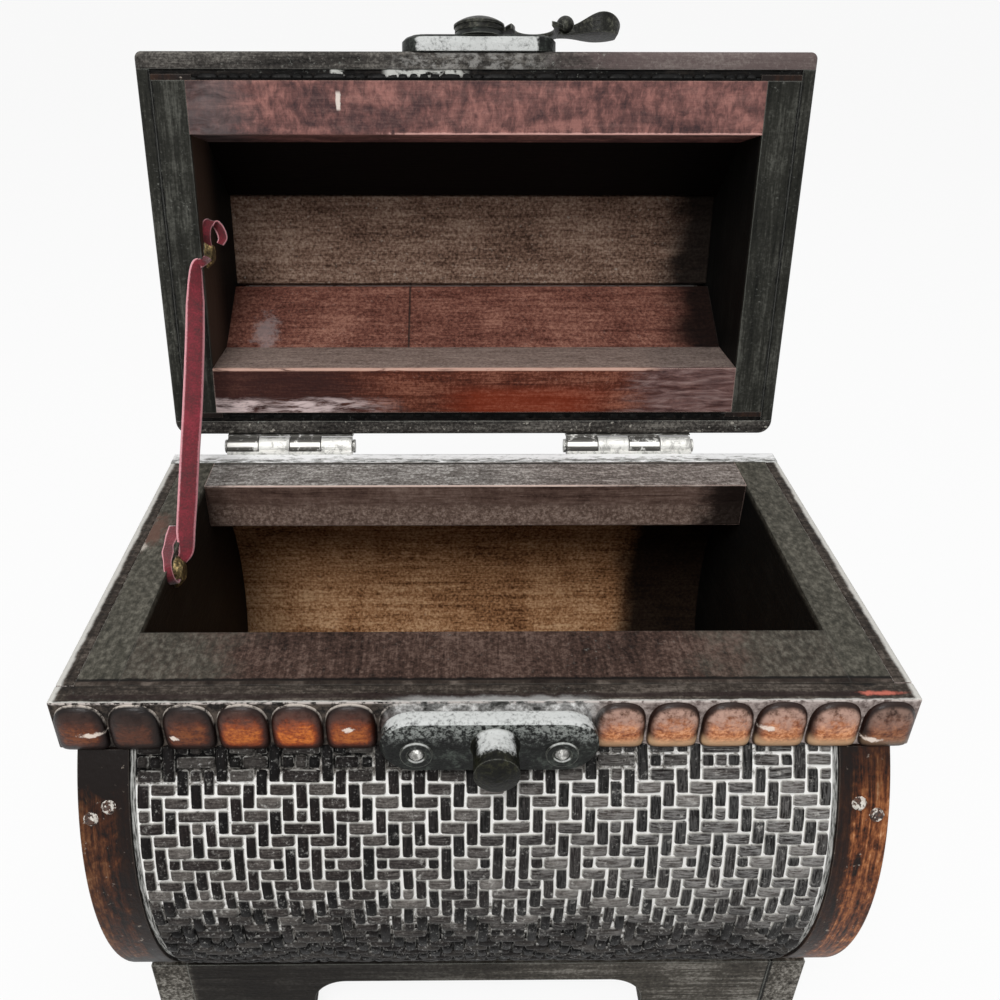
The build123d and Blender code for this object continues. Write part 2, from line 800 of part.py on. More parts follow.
def build_nodes():
    """Every piece of the box by name, in its place with the lid open."""
    right_end = end_board()
    right_front_band = drilled(end_band(-1), band_nail_places(), nail_length)
    right_back_band = drilled(end_band(1), band_nail_places(), nail_length)
    body = {
        "right_end_board": drilled(right_end, band_nail_places(), nail_length),
        "left_end_board": drilled(mirrored(right_end), [*band_nail_places(), stay_tack_place()], nail_length),
        "front_rail": body_rail(-1, front_rail_width),
        "back_rail": body_rail(1, back_rail_width),
        "front_core_panel": core_panel(-1),
        "back_core_panel": core_panel(1),
        "front_woven_mat": woven_mat(-1),
        "back_woven_mat": woven_mat(1),
        "right_front_band": right_front_band,
        "left_front_band": mirrored(right_front_band),
        "right_back_band": right_back_band,
        "left_back_band": mirrored(right_back_band),
        "band_nails": nails(band_nail_places()),
        "bottom_board": bottom_board(),
        "front_beaded_strip": front_moulding(),
        "right_beaded_strip": side_moulding(),
        "left_beaded_strip": turned(side_moulding()),
        "back_rim_strip": back_moulding(),
        "right_base_board": base_side(),
        "left_base_board": mirrored(base_side()),
        "front_apron": base_apron(),
        "back_apron": turned(base_apron()),
        "catch_plate": catch_plate(),
        "catch_stud": catch_stud(),
        "catch_nails": nails(catch_nail_places(), length=catch_thickness + bead_bulge + nail_length),
        "body_stay_tack": nails([stay_tack_place()], tack_head_radius, tack_head_height),
        "ribbon_stay": ribbon_stay(),
    }
    lid_right_band = drilled(lid_band(), lid_band_nail_places(), nail_length)
    lid_right_end = drilled(lid_end_board(), lid_band_nail_places(), nail_length)
    hinge_nails = [place for x in hinge_place for place in hinge_nail_places(x, True)]
    lid = {
        "lid_right_end_board": lid_right_end,
        "lid_left_end_board": drilled(mirrored(lid_right_end), [lid_stay_tack_place()], nail_length),
        "lid_front_rail": lid_rail(),
        "lid_back_rail": turned(lid_rail()),
        "lid_front_stave": slanted_stave(-end_inner, end_inner),
        "lid_back_stave_left": turned(slanted_stave(-stave_split_x + glue_line, end_inner)),
        "lid_back_stave_right": turned(slanted_stave(-end_inner, -stave_split_x)),
        "lid_top_stave": top_stave(),
        "lid_woven_mat": lid_mat(),
        "lid_right_band": lid_right_band,
        "lid_left_band": mirrored(lid_right_band),
        "lid_band_nails": nails(lid_band_nail_places()),
        "lid_front_strip": drilled(lid_long_strip(lid_strip_round), lid_plate_nail_places(), pivot_stand + nail_length),
        "lid_back_strip": drilled(turned(lid_long_strip(lid_back_round)), hinge_nails, leaf_thickness + nail_length),
        "lid_right_strip": lid_side_strip(),
        "lid_left_strip": mirrored(lid_side_strip()),
        "lid_clasp_plate": lid_plate(),
        "lid_clasp_nails": nails(lid_plate_nail_places(), length=pivot_stand + nail_length),
        "latch_pivot": pivot_rivet(),
        "latch_arm": latch_arm(),
        "lid_stay_tack": nails([lid_stay_tack_place()], tack_head_radius, tack_head_height),
        "lid_hinge_nails": nails(hinge_nails, length=leaf_thickness + nail_length),
    }
    for side, x in zip(("left", "right"), hinge_place):
        body[f"{side}_hinge_body_leaf"] = leaf(x, False)
        body[f"{side}_hinge_pin"] = hinge_pin(x)
        lid[f"{side}_hinge_lid_leaf"] = leaf(x, True)
    body_hinge_nails = [place for x in hinge_place for place in hinge_nail_places(x, False)]
    body["body_hinge_nails"] = nails(body_hinge_nails, length=leaf_thickness + nail_length)
    return {**body, **{name: opened(piece) for name, piece in lid.items()}}


def solids_of(piece):
    """A node's pieces as a list."""
    return piece if isinstance(piece, list) else [piece]


nodes = {name: solids_of(piece) for name, piece in build_nodes().items()}
boxes = [piece.bounding_box() for pieces in nodes.values() for piece in pieces]
back_reach = max(box.max.Y for box in boxes)
front_reach = min(box.min.Y for box in boxes)
side_reach = max(box.max.X for box in boxes) + min(box.min.X for box in boxes)
to_origin = Pos(-side_reach / 2, -(back_reach + front_reach) / 2, 0)
os.makedirs("parts", exist_ok=True)
for name, pieces in nodes.items():
    placed = [to_origin * piece for piece in pieces]
    export_step(placed[0] if len(placed) == 1 else Compound(children=placed), f"parts/{name}.step")
print("nodes", len(nodes), "shift", to_origin.position, "depth", back_reach - front_reach)
print("hinge pin", to_origin.position + Vector(0, pin_y, pin_z))
print("latch pivot", to_origin.position + opened_point(pivot_place().position))
lean = radians(lid_plate_lean + open_angle)
print("latch axis", Vector(0, -cos(lean), sin(lean)))
print("foot", to_origin.position + Vector(end_outer - base_side_thickness / 2, -base_half_depth + 5, 0))
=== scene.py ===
import random
from math import asin, cos, pi, radians, sin

import bmesh
import bpy
from mathutils import Matrix, Vector


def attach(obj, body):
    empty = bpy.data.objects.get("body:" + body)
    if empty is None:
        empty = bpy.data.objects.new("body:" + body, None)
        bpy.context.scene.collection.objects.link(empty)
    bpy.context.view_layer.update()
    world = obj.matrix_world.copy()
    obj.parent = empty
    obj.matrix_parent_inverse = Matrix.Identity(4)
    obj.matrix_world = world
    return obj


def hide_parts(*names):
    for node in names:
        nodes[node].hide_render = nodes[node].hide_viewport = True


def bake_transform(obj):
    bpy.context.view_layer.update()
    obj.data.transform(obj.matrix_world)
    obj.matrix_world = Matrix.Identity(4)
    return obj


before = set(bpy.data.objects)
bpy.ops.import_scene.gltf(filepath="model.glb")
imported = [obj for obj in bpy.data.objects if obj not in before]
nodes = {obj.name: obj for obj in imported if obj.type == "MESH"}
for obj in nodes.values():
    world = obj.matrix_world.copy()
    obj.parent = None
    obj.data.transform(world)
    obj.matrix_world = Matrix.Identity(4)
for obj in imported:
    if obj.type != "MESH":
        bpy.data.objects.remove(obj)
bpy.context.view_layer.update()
MM = 0.001

# Sizes of the box in millimetres, in the frame of the closed box with its middle at Y = 0
BACK_SHIFT = -16.0223
RIM_Z = 82.0
BASE_Z = 17.0
BARREL_Z = 48.3
BARREL_RADIUS = 42.3
MAT_REACH = 50.17
MAT_TOP = 73.37
BAND_INNER = 50.2
END_OUTER = 57.4
END_INNER = 51.4
LID_RIM_Z = 82.4
LID_SPRING_Z = 83.9
LID_RADIUS = 30.3
HINGE_Y = 37.4
HINGE_Z = 82.6
OPEN_ANGLE = radians(100)
RIM_WIDTH = 120.0
RIM_DEPTH = 70.0


def opened(point):
    """A point of the closed lid, in millimetres, where it is with the lid open."""
    x, y, z = point
    dy, dz = y - HINGE_Y, z - HINGE_Z
    return (
        x,
        HINGE_Y + dy * cos(OPEN_ANGLE) + dz * sin(OPEN_ANGLE),
        HINGE_Z - dy * sin(OPEN_ANGLE) + dz * cos(OPEN_ANGLE),
    )


def row(point):
    """A point in millimetres as a place in the model's frame."""
    x, y, z = point
    return Vector((x * MM, (y + BACK_SHIFT) * MM, z * MM))


def link(name, data):
    made = bpy.data.objects.new(name, data)
    bpy.context.scene.collection.objects.link(made)
    return made


# Camera

CAMERA_PLACE = (-4.79, -129.19, 172.39)
CAMERA_PITCH = radians(-31.351)
CAMERA_YAW = radians(0.583)
CAMERA_ROLL = radians(0.173)
CAMERA_LENS = 33.576
CAMERA_SHIFT = (0.0411, -0.0048)


def place_camera():
    forward = Vector(
        (sin(CAMERA_YAW) * cos(CAMERA_PITCH), cos(CAMERA_YAW) * cos(CAMERA_PITCH), sin(CAMERA_PITCH))
    )
    level = Vector((cos(CAMERA_YAW), -sin(CAMERA_YAW), 0))
    upward = level.cross(forward)
    right = cos(CAMERA_ROLL) * level + sin(CAMERA_ROLL) * upward
    up = cos(CAMERA_ROLL) * upward - sin(CAMERA_ROLL) * level
    data = bpy.data.cameras.new("photo_camera")
    data.lens = CAMERA_LENS
    data.sensor_width = 36
    data.shift_x, data.shift_y = CAMERA_SHIFT
    data.clip_start = 0.005
    camera = link("photo_camera", data)
    turn = Matrix((right, up, -forward)).transposed().to_4x4()
    camera.matrix_world = Matrix.Translation(row(CAMERA_PLACE)) @ turn
    bpy.context.scene.camera = camera


place_camera()


# Materials. A colour is written as it looks on a screen, with channels from 0 to 255.

EDGE_GAIN = 3.4
WHITE = (255, 255, 255)
PALE_DUST = (176, 178, 170)
WORN_PINK = (196, 160, 146)
PALE_EDGE = (206, 178, 166)
BLACK = (5, 4, 3)
DEEP_BLACK = (2, 2, 1)


def linear(channels):
    """A screen colour as a shader's linear colour."""
    return (*((channel / 255) ** 2.2 for channel in channels), 1.0)


class Wire:
    """A socket whose arithmetic adds Math nodes."""

    def __init__(self, owner, socket):
        self.owner = owner
        self.socket = socket

    def math(self, operation, first, second=0.0):
        return self.owner.node("ShaderNodeMath", {"operation": operation}, {0: first, 1: second})

    def __add__(self, other):
        return self.math("ADD", self, other)

    def __radd__(self, other):
        return self.math("ADD", other, self)

    def __sub__(self, other):
        return self.math("SUBTRACT", self, other)

    def __rsub__(self, other):
        return self.math("SUBTRACT", other, self)

    def __mul__(self, other):
        return self.math("MULTIPLY", self, other)

    def __rmul__(self, other):
        return self.math("MULTIPLY", other, self)

    def __truediv__(self, other):
        return self.math("DIVIDE", self, other)

    def __mod__(self, other):
        return self.math("FLOORED_MODULO", self, other)

    def __abs__(self):
        return self.math("ABSOLUTE", self)

    def clamp(self):
        return self.owner.node("ShaderNodeClamp", {}, {"Value": self})

    def rise(self, low, high):
        """Smooth step from 0 at low to 1 at high."""
        inputs = {"Value": self, "From Min": low, "From Max": high}
        return self.owner.node("ShaderNodeMapRange", {"interpolation_type": "SMOOTHSTEP"}, inputs)

    def fall(self, low, high):
        """Smooth step from 1 at low to 0 at high."""
        return 1.0 - self.rise(low, high)

    def hill(self, low, rim, far_rim, far_low):
        """1 between the rims and 0 outside the lows."""
        return self.rise(low, rim) * self.fall(far_rim, far_low)


class Nodes:
    """A node tree that is built through one method."""

    def __init__(self, tree):
        self.tree = tree

    def node(self, kind, settings, inputs, output=0):
        made = self.tree.nodes.new(kind)
        for key, value in settings.items():
            if key == "stops":
                self.set_stops(made.color_ramp, value)
            else:
                setattr(made, key, value)
        for key, value in inputs.items():
            self.join(made.inputs[key], value)
        return Wire(self, made.outputs[output])

    def set_stops(self, ramp, stops):
        while len(ramp.elements) < len(stops):
            ramp.elements.new(1.0)
        for element, (position, *channels) in zip(ramp.elements, stops):
            element.position = position
            element.color = linear(channels)

    def join(self, socket, value):
        if isinstance(value, Wire):
            self.tree.links.new(value.socket, socket)
        elif isinstance(value, tuple) and len(socket.default_value) == 4:
            socket.default_value = linear(value)
        else:
            socket.default_value = value

    def direct_rays(self):
        """1 where the camera sees a thing straight, mirrored or through something clear."""
        camera = self.node("ShaderNodeLightPath", {}, {}, "Is Camera Ray")
        glossy = self.node("ShaderNodeLightPath", {}, {}, "Is Glossy Ray")
        clear = self.node("ShaderNodeLightPath", {}, {}, "Is Transmission Ray")
        return (camera + glossy + clear).clamp()


class Paint(Nodes):
    """One material. Its x, y and z are millimetres in the closed box, with lid those of the closed lid."""

    def __init__(self, name, lid=False):
        self.material = bpy.data.materials.new(name)
        self.material.use_nodes = True
        super().__init__(self.material.node_tree)
        self.shader = self.tree.nodes["Principled BSDF"]
        coords = self.node("ShaderNodeTexCoord", {}, {}, "Object")
        self.place = self.scaled(coords, (1 / MM, 1 / MM, 1 / MM))
        if lid:
            self.place = self.lid_place()
        self.x, self.y, self.z = (self.axis(i) for i in range(3))
        if not lid:
            self.y = self.y - BACK_SHIFT
        self.colour = None

    def scaled(self, vector, factors):
        return self.node("ShaderNodeVectorMath", {"operation": "MULTIPLY"}, {0: vector, 1: factors})

    def shifted(self, vector, offset):
        return self.node("ShaderNodeVectorMath", {"operation": "ADD"}, {0: vector, 1: offset})

    def distance(self, centre, factors):
        """Distance from a place, with a factor for each axis."""
        offset = self.scaled(self.shifted(self.place, tuple(-part for part in centre)), factors)
        return self.node("ShaderNodeVectorMath", {"operation": "LENGTH"}, {0: offset}, "Value")

    def dot(self, first, second):
        return self.node("ShaderNodeVectorMath", {"operation": "DOT_PRODUCT"}, {0: first, 1: second}, "Value")

    def facing(self, direction):
        """How far the surface looks along a direction, from -1 to 1."""
        return self.dot(self.node("ShaderNodeTexCoord", {}, {}, "Normal"), direction)

    def attribute(self, name, output):
        return self.node("ShaderNodeAttribute", {"attribute_name": name}, {}, output)

    def axis(self, index, vector=None):
        return self.node("ShaderNodeSeparateXYZ", {}, {"Vector": vector or self.place}, index)

    def lid_place(self):
        """Coordinates of the closed lid, from its place with the lid open."""
        x, y, z = (self.axis(i) for i in range(3))
        dy = y - (HINGE_Y + BACK_SHIFT)
        dz = z - HINGE_Z
        closed_y = dy * cos(OPEN_ANGLE) - dz * sin(OPEN_ANGLE) + HINGE_Y
        closed_z = dy * sin(OPEN_ANGLE) + dz * cos(OPEN_ANGLE) + HINGE_Z
        return self.node("ShaderNodeCombineXYZ", {}, {0: x, 1: closed_y, 2: closed_z})

    def noise(self, factors, detail, roughness, distortion=0.0, seed=0.0, place=None):
        """Noise whose factors, one for all axes or one for each, are its waves in a millimetre."""
        factors = factors if isinstance(factors, tuple) else (factors, factors, factors)
        vector = self.scaled(place or self.place, factors)
        if seed:
            vector = self.shifted(vector, (seed, seed * 1.7, seed * 0.6))
        values = {"Vector": vector, "Scale": 1.0, "Detail": detail}
        values.update({"Roughness": roughness, "Distortion": distortion})
        return self.node("ShaderNodeTexNoise", {}, values, "Fac")

    def ramp(self, value, *stops):
        """Colours along a value. A stop is its position, red, green and blue."""
        return self.node("ShaderNodeValToRGB", {"stops": stops}, {"Fac": value}, "Color")

    def mix(self, factor, first, second):
        return self.node("ShaderNodeMix", {"data_type": "RGBA"}, {0: factor, 6: first, 7: second}, 2)

    def cover(self, amount, colour):
        """Lays a colour over the paint, as strong as the amount."""
        self.colour = self.mix(amount, self.colour, colour)

    def rounded(self, radius):
        """Normal that is rounded at edges."""
        return self.node("ShaderNodeBevel", {"samples": 6}, {"Radius": radius * MM})

    def edge(self, rounded):
        """Strength of nearby convex or concave edges, from 0 on a flat face."""
        flat = self.node("ShaderNodeNewGeometry", {}, {}, "Normal")
        return (1.0 - self.dot(rounded, flat)) * EDGE_GAIN

    def finish(self, roughness, bump, depth, normal=None, metallic=0.0, **constants):
        """Joins the colour, roughness, metal and bump to the shader and sets its constants."""
        values = {"Height": bump, "Distance": depth * MM, "Strength": 1.0}
        if normal:
            values["Normal"] = normal
        varied = {
            "Base Color": self.colour,
            "Roughness": roughness,
            "Metallic": metallic,
            "Normal": self.node("ShaderNodeBump", {}, values),
        }
        for key, value in varied.items():
            self.join(self.shader.inputs[key], value)
        for key, value in constants.items():
            self.shader.inputs[key.replace("_", " ").title().replace("Ior", "IOR")].default_value = value
        return self.material


STREAKS = {"x": (0.045, 0.9, 0.9), "y": (0.9, 0.045, 0.9)}
FIBRES = {"x": (0.3, 3.4, 3.4), "y": (3.4, 0.3, 3.4)}


def wood(name, tones, grain="x", lid=False, touch=None, **look):
    """Stained wood with a grain along one axis, dust, flecks and worn edges."""
    look = {"dust": 0.35, "wear": 0.5, "worn": PALE_DUST, "gloss": 0.55, "fleck": 0.0, "grit": 0.3, **look}
    dark, middle, light = tones
    paint = Paint(name, lid)
    streaks = paint.noise(STREAKS[grain], 5.0, 0.62, 0.35)
    fibres = paint.noise(FIBRES[grain], 3.0, 0.6, 0.0, 11.0)
    blotches = paint.noise(0.08, 3.0, 0.6, 0.4, 5.0)
    grit = paint.noise(1.6, 4.0, 0.7, 0.0, 17.0)
    tone = streaks * 0.42 + fibres * 0.28 + blotches * 0.42 + grit * look["grit"] - 0.06 - look["grit"] / 2
    paint.colour = paint.ramp(tone, (0.33, *dark), (0.5, *middle), (0.69, *light))
    specks = paint.noise(1.5, 4.0, 0.75, 0.0, 23.0).rise(0.58, 0.74)
    patches = paint.noise(0.11, 3.0, 0.6, 0.3, 31.0).rise(0.42, 0.68)
    paint.cover(specks * (patches * 0.7 + 0.3) * look["dust"], look["worn"])
    if look["fleck"]:
        paint.cover(paint.noise(1.1, 2.0, 0.5, 0.0, 41.0).rise(0.66, 0.72) * look["fleck"], (205, 200, 188))
    if touch:
        touch(paint)
    rounded = paint.rounded(0.45)
    rubbed = (paint.edge(rounded) * (paint.noise(0.5, 4.0, 0.7, 0.0, 3.0) + 0.45)).rise(0.3, 0.85)
    paint.cover(rubbed * look["wear"], look["worn"])
    roughness = look["gloss"] + fibres * 0.22 + specks * 0.12
    bump = streaks * 0.4 + fibres * 0.4 + grit * 0.4
    return paint.finish(roughness, bump, 0.16, rounded, specular_ior_level=0.12)


PLATE_X = 1.0
# X, Z and half width of the painted highlights, small glints, on the front beads
BEAD_GLINTS = (
    (-54.3, 77.2, 1.5), (-43.0, 76.5, 0.6), (-19.0, 78.1, 0.7), (39.0, 77.9, 1.0), (53.9, 75.6, 1.2),
)


def beaded_wood():
    """Carved cushions, amber below the middle and dark towards their edges, on a rubbed ground, with a few
    painted highlights.
    """
    paint = Paint("beaded_wood")
    bead = paint.attribute("bead", "Vector")
    upward, stain = paint.axis(1, bead), paint.axis(2, bead)
    rim = paint.attribute("rim", "Fac")
    mottle = paint.noise((0.5, 0.5, 0.9), 5.0, 0.68, 0.6)
    fibres = paint.noise((0.35, 2.6, 2.6), 3.0, 0.6, 0.0, 7.0)
    specks = paint.noise(2.2, 3.0, 0.65, 0.0, 12.0)
    chalk = paint.noise(0.8, 4.0, 0.7, 0.0, 19.0)
    right = paint.x.rise(-4.0, 24.0)
    hollow = upward.hill(-0.75, -0.35, 0.0, 0.75)
    body = rim.fall(0.55, 1.0) * (hollow * 0.7 + 0.3)
    glow = body * (mottle * 1.5 + fibres * 0.5 + specks * 0.9 - 0.7)
    amber = paint.ramp(glow, (0.0, 30, 18, 14), (0.25, 76, 34, 20), (0.6, 150, 68, 22), (0.95, 212, 118, 48))
    stained = paint.ramp(glow, (0.0, 18, 13, 12), (0.45, 44, 28, 22), (0.9, 84, 48, 32))
    paint.colour = paint.mix(stain, amber, stained)
    rubbed = paint.ramp(
        mottle * 0.5 + specks * 0.5, (0.4, 112, 66, 40), (0.5, 188, 132, 92), (0.6, 236, 192, 156)
    )
    paint.cover(body * right * (1.0 - stain) * 0.5, rubbed)
    pale_top = (upward + chalk * 0.6).rise(0.0, 0.9) * rim.fall(0.8, 0.95) * chalk.rise(0.3, 0.6)
    paint.cover(pale_top * (right * 0.72 + 0.08) * (1.0 - stain * 0.7), (194, 158, 142))
    rubbed_foot = upward.hill(-0.95, -0.6, -0.6, -0.2) * right
    paint.cover(rubbed_foot * (1.0 - stain) * 0.7, (214, 174, 134))
    paint.cover(upward.fall(-0.92, -0.78) * 0.85, (36, 20, 16))
    ridge = rim.rise(0.965, 1.0) * upward.rise(0.0, 0.45)
    paint.cover(ridge * chalk.rise(0.36, 0.54) * (1.0 - right), (202, 192, 182))
    paint.cover(rim.rise(0.9, 0.98) * right * 0.85, (40, 26, 22))
    ground = rim.rise(1.05, 1.15)
    paint.cover(ground, paint.ramp(chalk, (0.4, 24, 20, 18), (0.7, 96, 86, 78)))
    paint.cover(ground * right * 0.85, paint.ramp(chalk, (0.36, 92, 78, 74), (0.62, 182, 168, 162)))
    near_plate = abs(paint.x - PLATE_X).fall(12.0, 16.0) * paint.z.rise(75.5, 78.5)
    dusted = paint.ramp(chalk, (0.34, 66, 66, 64), (0.5, 142, 141, 139), (0.64, 214, 214, 212))
    paint.cover(near_plate * 0.9, dusted)
    edge_line = paint.z.rise(RIM_Z - 0.5, RIM_Z - 0.25) * ground
    paint.cover(edge_line * chalk.rise(0.42, 0.56) * 0.8, (206, 196, 190))
    # Painted highlights: whitish glints on a few beads
    for x, z, half_width in BEAD_GLINTS:
        far = paint.distance((x, 0.0, z), (1 / half_width, 0.0, 2.6))
        paint.cover((far + (chalk + specks - 1.0) * 2.0).fall(0.6, 1.3) * 0.9, (238, 222, 208))
    roughness = 0.34 + mottle * 0.16 + ground * 0.35
    bump = mottle * 0.5 + fibres * 0.5
    return paint.finish(roughness, bump, 0.16, coat_weight=0.06, specular_ior_level=0.2)


def band_lacquer(name, lid=False):
    """Lacquered band: reddish brown in the middle, nearly black and chipped at its edges."""
    paint = Paint(name, lid)
    x, z = paint.x, paint.z
    outward = (abs(x) - BAND_INNER) / (END_OUTER - BAND_INNER)
    streaks = paint.noise((1.5, 0.11, 0.11), 5.0, 0.65, 0.5, 3.0)
    mottle = paint.noise((0.5, 0.3, 0.3), 5.0, 0.7, 0.6, 5.0)
    fine = paint.noise((1.6, 1.6, 0.9), 3.0, 0.6, 0.0, 9.0)
    tone = streaks * 0.65 + mottle * 0.45 + fine * 0.3 - 0.22 + outward.rise(0.6, 0.95) * 0.05
    paint.colour = paint.ramp(
        tone, (0.38, 28, 17, 12), (0.5, 100, 56, 34), (0.6, 158, 100, 62), (0.72, 212, 164, 124)
    )
    paint.cover((outward + (mottle - 0.5) * 0.3).fall(0.22, 0.4) * 0.9, (24, 17, 15))
    # Painted shade, nearly black: near the lid's rim, and on the body's band towards its top, its left and
    # its foot
    if lid:
        shade = 0.95 - z.rise(LID_RIM_Z + 1.5, LID_RIM_Z + 4.0) * 0.7
    else:
        left = x.fall(-20.0, 20.0)
        low = (z + mottle * 8.0).fall(26.0, 40.0)
        top = (z + (mottle - 0.5) * 14.0).rise(64.0, 74.0)
        shade = top * 0.8 + left * 0.66 + low * (left * 0.5 + 0.35)
    paint.cover(shade.clamp(), (22, 15, 12))
    rounded = paint.rounded(0.35)
    chips = paint.noise(0.9, 3.0, 0.6, 0.0, 29.0).rise(0.66, 0.72)
    paint.cover((paint.edge(rounded).rise(0.4, 0.9) * 0.25 + chips * 0.5).clamp(), (170, 158, 146))
    bump = mottle * 0.6 + fine * 0.4
    return paint.finish(0.4 + mottle * 0.25, bump, 0.2, rounded, coat_weight=0.04, specular_ior_level=0.15)


def cane_strips(name, lid=False):
    """Flat cane strips, stained charcoal, with fibres along each strip and dust towards their edges."""
    paint = Paint(name)
    weave = paint.attribute("weave", "Vector")
    tint = paint.axis(2, weave)
    upright = tint.rise(0.99, 1.01)
    grit = paint.noise(2.6, 3.0, 0.7, 0.0, 95.0)
    rub = paint.noise(0.7, 4.0, 0.7)
    level_fibres = paint.noise((0.5, 6.0, 1.0), 4.0, 0.7, place=weave)
    upright_fibres = paint.noise((6.0, 0.5, 1.0), 4.0, 0.7, place=weave)
    inputs = {0: upright, 2: level_fibres, 3: upright_fibres}
    fibres = paint.node("ShaderNodeMix", {"data_type": "FLOAT"}, inputs)
    paint.colour = paint.ramp(
        fibres * 0.75 + tint % 1.0 * 0.3 - upright * 0.3 + (grit - 0.5) * 0.5,
        (0.16, 12, 9, 9), (0.36, 34, 28, 27), (0.52, 72, 67, 64), (0.74, 118, 113, 108),
    )
    dust_and_shade_mask = dust_and_shade(paint, lid)
    # Darker where no dust lies, and painted shade on the lower half of the barrel and under the moulding
    paint.cover((1.0 - dust_and_shade_mask) * 0.7, (6, 5, 5))
    powder = paint.x.rise(-25.0, 50.0) * fibres.rise(0.4, 0.6) * dust_and_shade_mask * (1.0 - upright * 0.6)
    paint.cover(powder * 0.45, (176, 176, 174))
    worn = (rub + grit * 0.3 + dust_and_shade_mask * 0.18).rise(0.62, 0.76)
    dusty = paint.attribute("rise", "Fac").fall(0.05, 0.6) * worn * (dust_and_shade_mask * 0.3 + 0.7)
    smudge = rub.rise(0.58, 0.74) * (dust_and_shade_mask * 0.4 + 0.12)
    paint.cover((dusty * 0.9 + smudge).clamp(), (208, 206, 200))
    paint.cover(grit.rise(0.58, 0.66) * rub.rise(0.42, 0.56) * (0.8 - dust_and_shade_mask * 0.5), (164, 163, 160))
    # Black beside the lid's rim; on the body, painted shade towards the foot of the barrel
    paint.cover(near_lid_rim(paint) if lid else paint.z.fall(18.0, 34.0) * 0.6, BLACK)
    return paint.finish(0.5 + fibres * 0.2, fibres, 0.14, specular_ior_level=0.15)


def near_lid_rim(paint):
    """Where the lid's mat is black, beside its rim."""
    return 0.95 - paint.axis(2, paint.lid_place()).rise(LID_RIM_Z + 1.5, LID_RIM_Z + 3.5) * 0.95


def dust_and_shade(paint, lid):
    """Mask of dust and painted shade on a mat: high where dust lies, on the upper half of the barrel and on
    the lid away from its rim, and low under the moulding, where shade is painted.
    """
    if lid:
        return paint.axis(2, paint.lid_place()).rise(LID_RIM_Z + 2.5, LID_RIM_Z + 5.0) * 0.8
    drift = paint.noise(0.09, 3.0, 0.6, 0.4, 73.0)
    fray = paint.noise(0.35, 3.0, 0.6, 0.0, 77.0)
    # Painted shade under the moulding, weaker towards the right
    shaded_top = paint.z.rise(67.5, 71.5) * (0.85 - paint.x.rise(0.0, 45.0) * 0.6)
    return (paint.z + (drift + fray - 1.0) * 22.0 + paint.x * 0.03).rise(36.0, 54.0) * (1.0 - shaded_top)


def groove_dust(name, lid=False):
    """Whitish dust in the grooves of a mat."""
    paint = Paint(name)
    patches = paint.noise(0.1, 3.0, 0.6, 0.5, 13.0)
    grit = paint.noise(0.9, 4.0, 0.75, 0.0, 2.0)
    left = paint.x.fall(-50.0, -12.0)
    amount = (patches * 0.4 + grit * 0.8 + dust_and_shade(paint, lid) * 0.45 - left * 0.09).rise(0.58, 0.94)
    paint.colour = paint.ramp(amount, (0.0, 9, 8, 8), (0.5, 120, 116, 111), (1.0, 246, 245, 242))
    strands = paint.noise((5.0, 0.4, 0.4), 4.0, 0.7, 0.0, 91.0)
    paint.cover(abs(paint.x).rise(49.3, 49.5), paint.ramp(strands, (0.4, 38, 37, 35), (0.6, 186, 186, 182)))
    if lid:
        paint.cover(near_lid_rim(paint), BLACK)
    return paint.finish(0.8, grit, 0.1, specular_ior_level=0.1)


METAL_FRONT_Y = -43.5777


def aged_metal(name, lid=False, chalk_normal=(0, 0, 1), reach=100.0, tone=(13, 14, 13), spread=0.0, turn=0.2):
    """Blackened metal with a whitish patina on the faces that look along one direction, and paler edges that
    are partly painted highlight.
    """
    paint = Paint(name, lid)
    cloud = paint.noise(0.35, 4.0, 0.65, 0.5, 4.0)
    grit = paint.noise(1.9, 3.0, 0.65, 0.0, 8.0)
    facing = paint.facing(chalk_normal).rise(turn, turn * 0.15 + 0.77) * abs(paint.x).fall(reach - 1.5, reach)
    if not lid:
        facing = facing * paint.y.rise(METAL_FRONT_Y, METAL_FRONT_Y + 2.4)
    chalk = (facing * 0.62 + cloud * 0.55 + grit * 0.8).rise(0.94, 1.34)
    low, middle, high = (tuple(channel * share for channel in tone) for share in (1.0, 2.2, 5.2))
    paint.colour = paint.ramp(cloud * 0.5 + grit * 0.5, (0.4, *low), (0.52, *middle), (0.66, *high))
    if spread:
        spill = (paint.z + (grit + cloud) * 5.0).rise(82.0, 86.0) * grit.rise(0.4, 0.6)
        paint.cover(spill * spread, (152, 156, 152))
    paint.cover(chalk * 0.95, (204, 206, 204))
    rounded = paint.rounded(0.4)
    # Paler edges: painted highlight along the rims, with rubbed metal
    paint.cover((paint.edge(rounded) * (grit + 0.4)).rise(0.4, 0.8) * 0.5, (164, 166, 156))
    roughness = 0.34 + chalk * 0.4 + grit * 0.16
    bump = cloud * 0.4 + grit * 0.6
    return paint.finish(roughness, bump, 0.2, rounded, 0.2 - chalk * 0.2, specular_ior_level=0.2)


def bright_metal(name, lid=False, dark=0.75, clean=0.0, highlight_line=0.0):
    """Rough bright steel with dark stains, and a painted highlight line along the front of a knuckle."""
    paint = Paint(name, lid)
    scratch = paint.noise((0.8, 3.0, 3.0), 4.0, 0.7, 0.3, 6.0)
    stain = paint.noise(0.5, 4.0, 0.75, 0.6, 15.0).rise(0.4 + clean, 0.56 + clean)
    paint.colour = paint.mix(stain * dark, (226, 225, 220), (58, 55, 50))
    # Painted highlight: a bright line where the knuckle faces the front
    if highlight_line:
        paint.cover(paint.facing((0.0, -0.8, 0.6)).rise(0.955, 0.99) * highlight_line, (244, 242, 236))
    return paint.finish(0.28 + scratch * 0.35, scratch, 0.16, paint.rounded(0.3), 0.6)


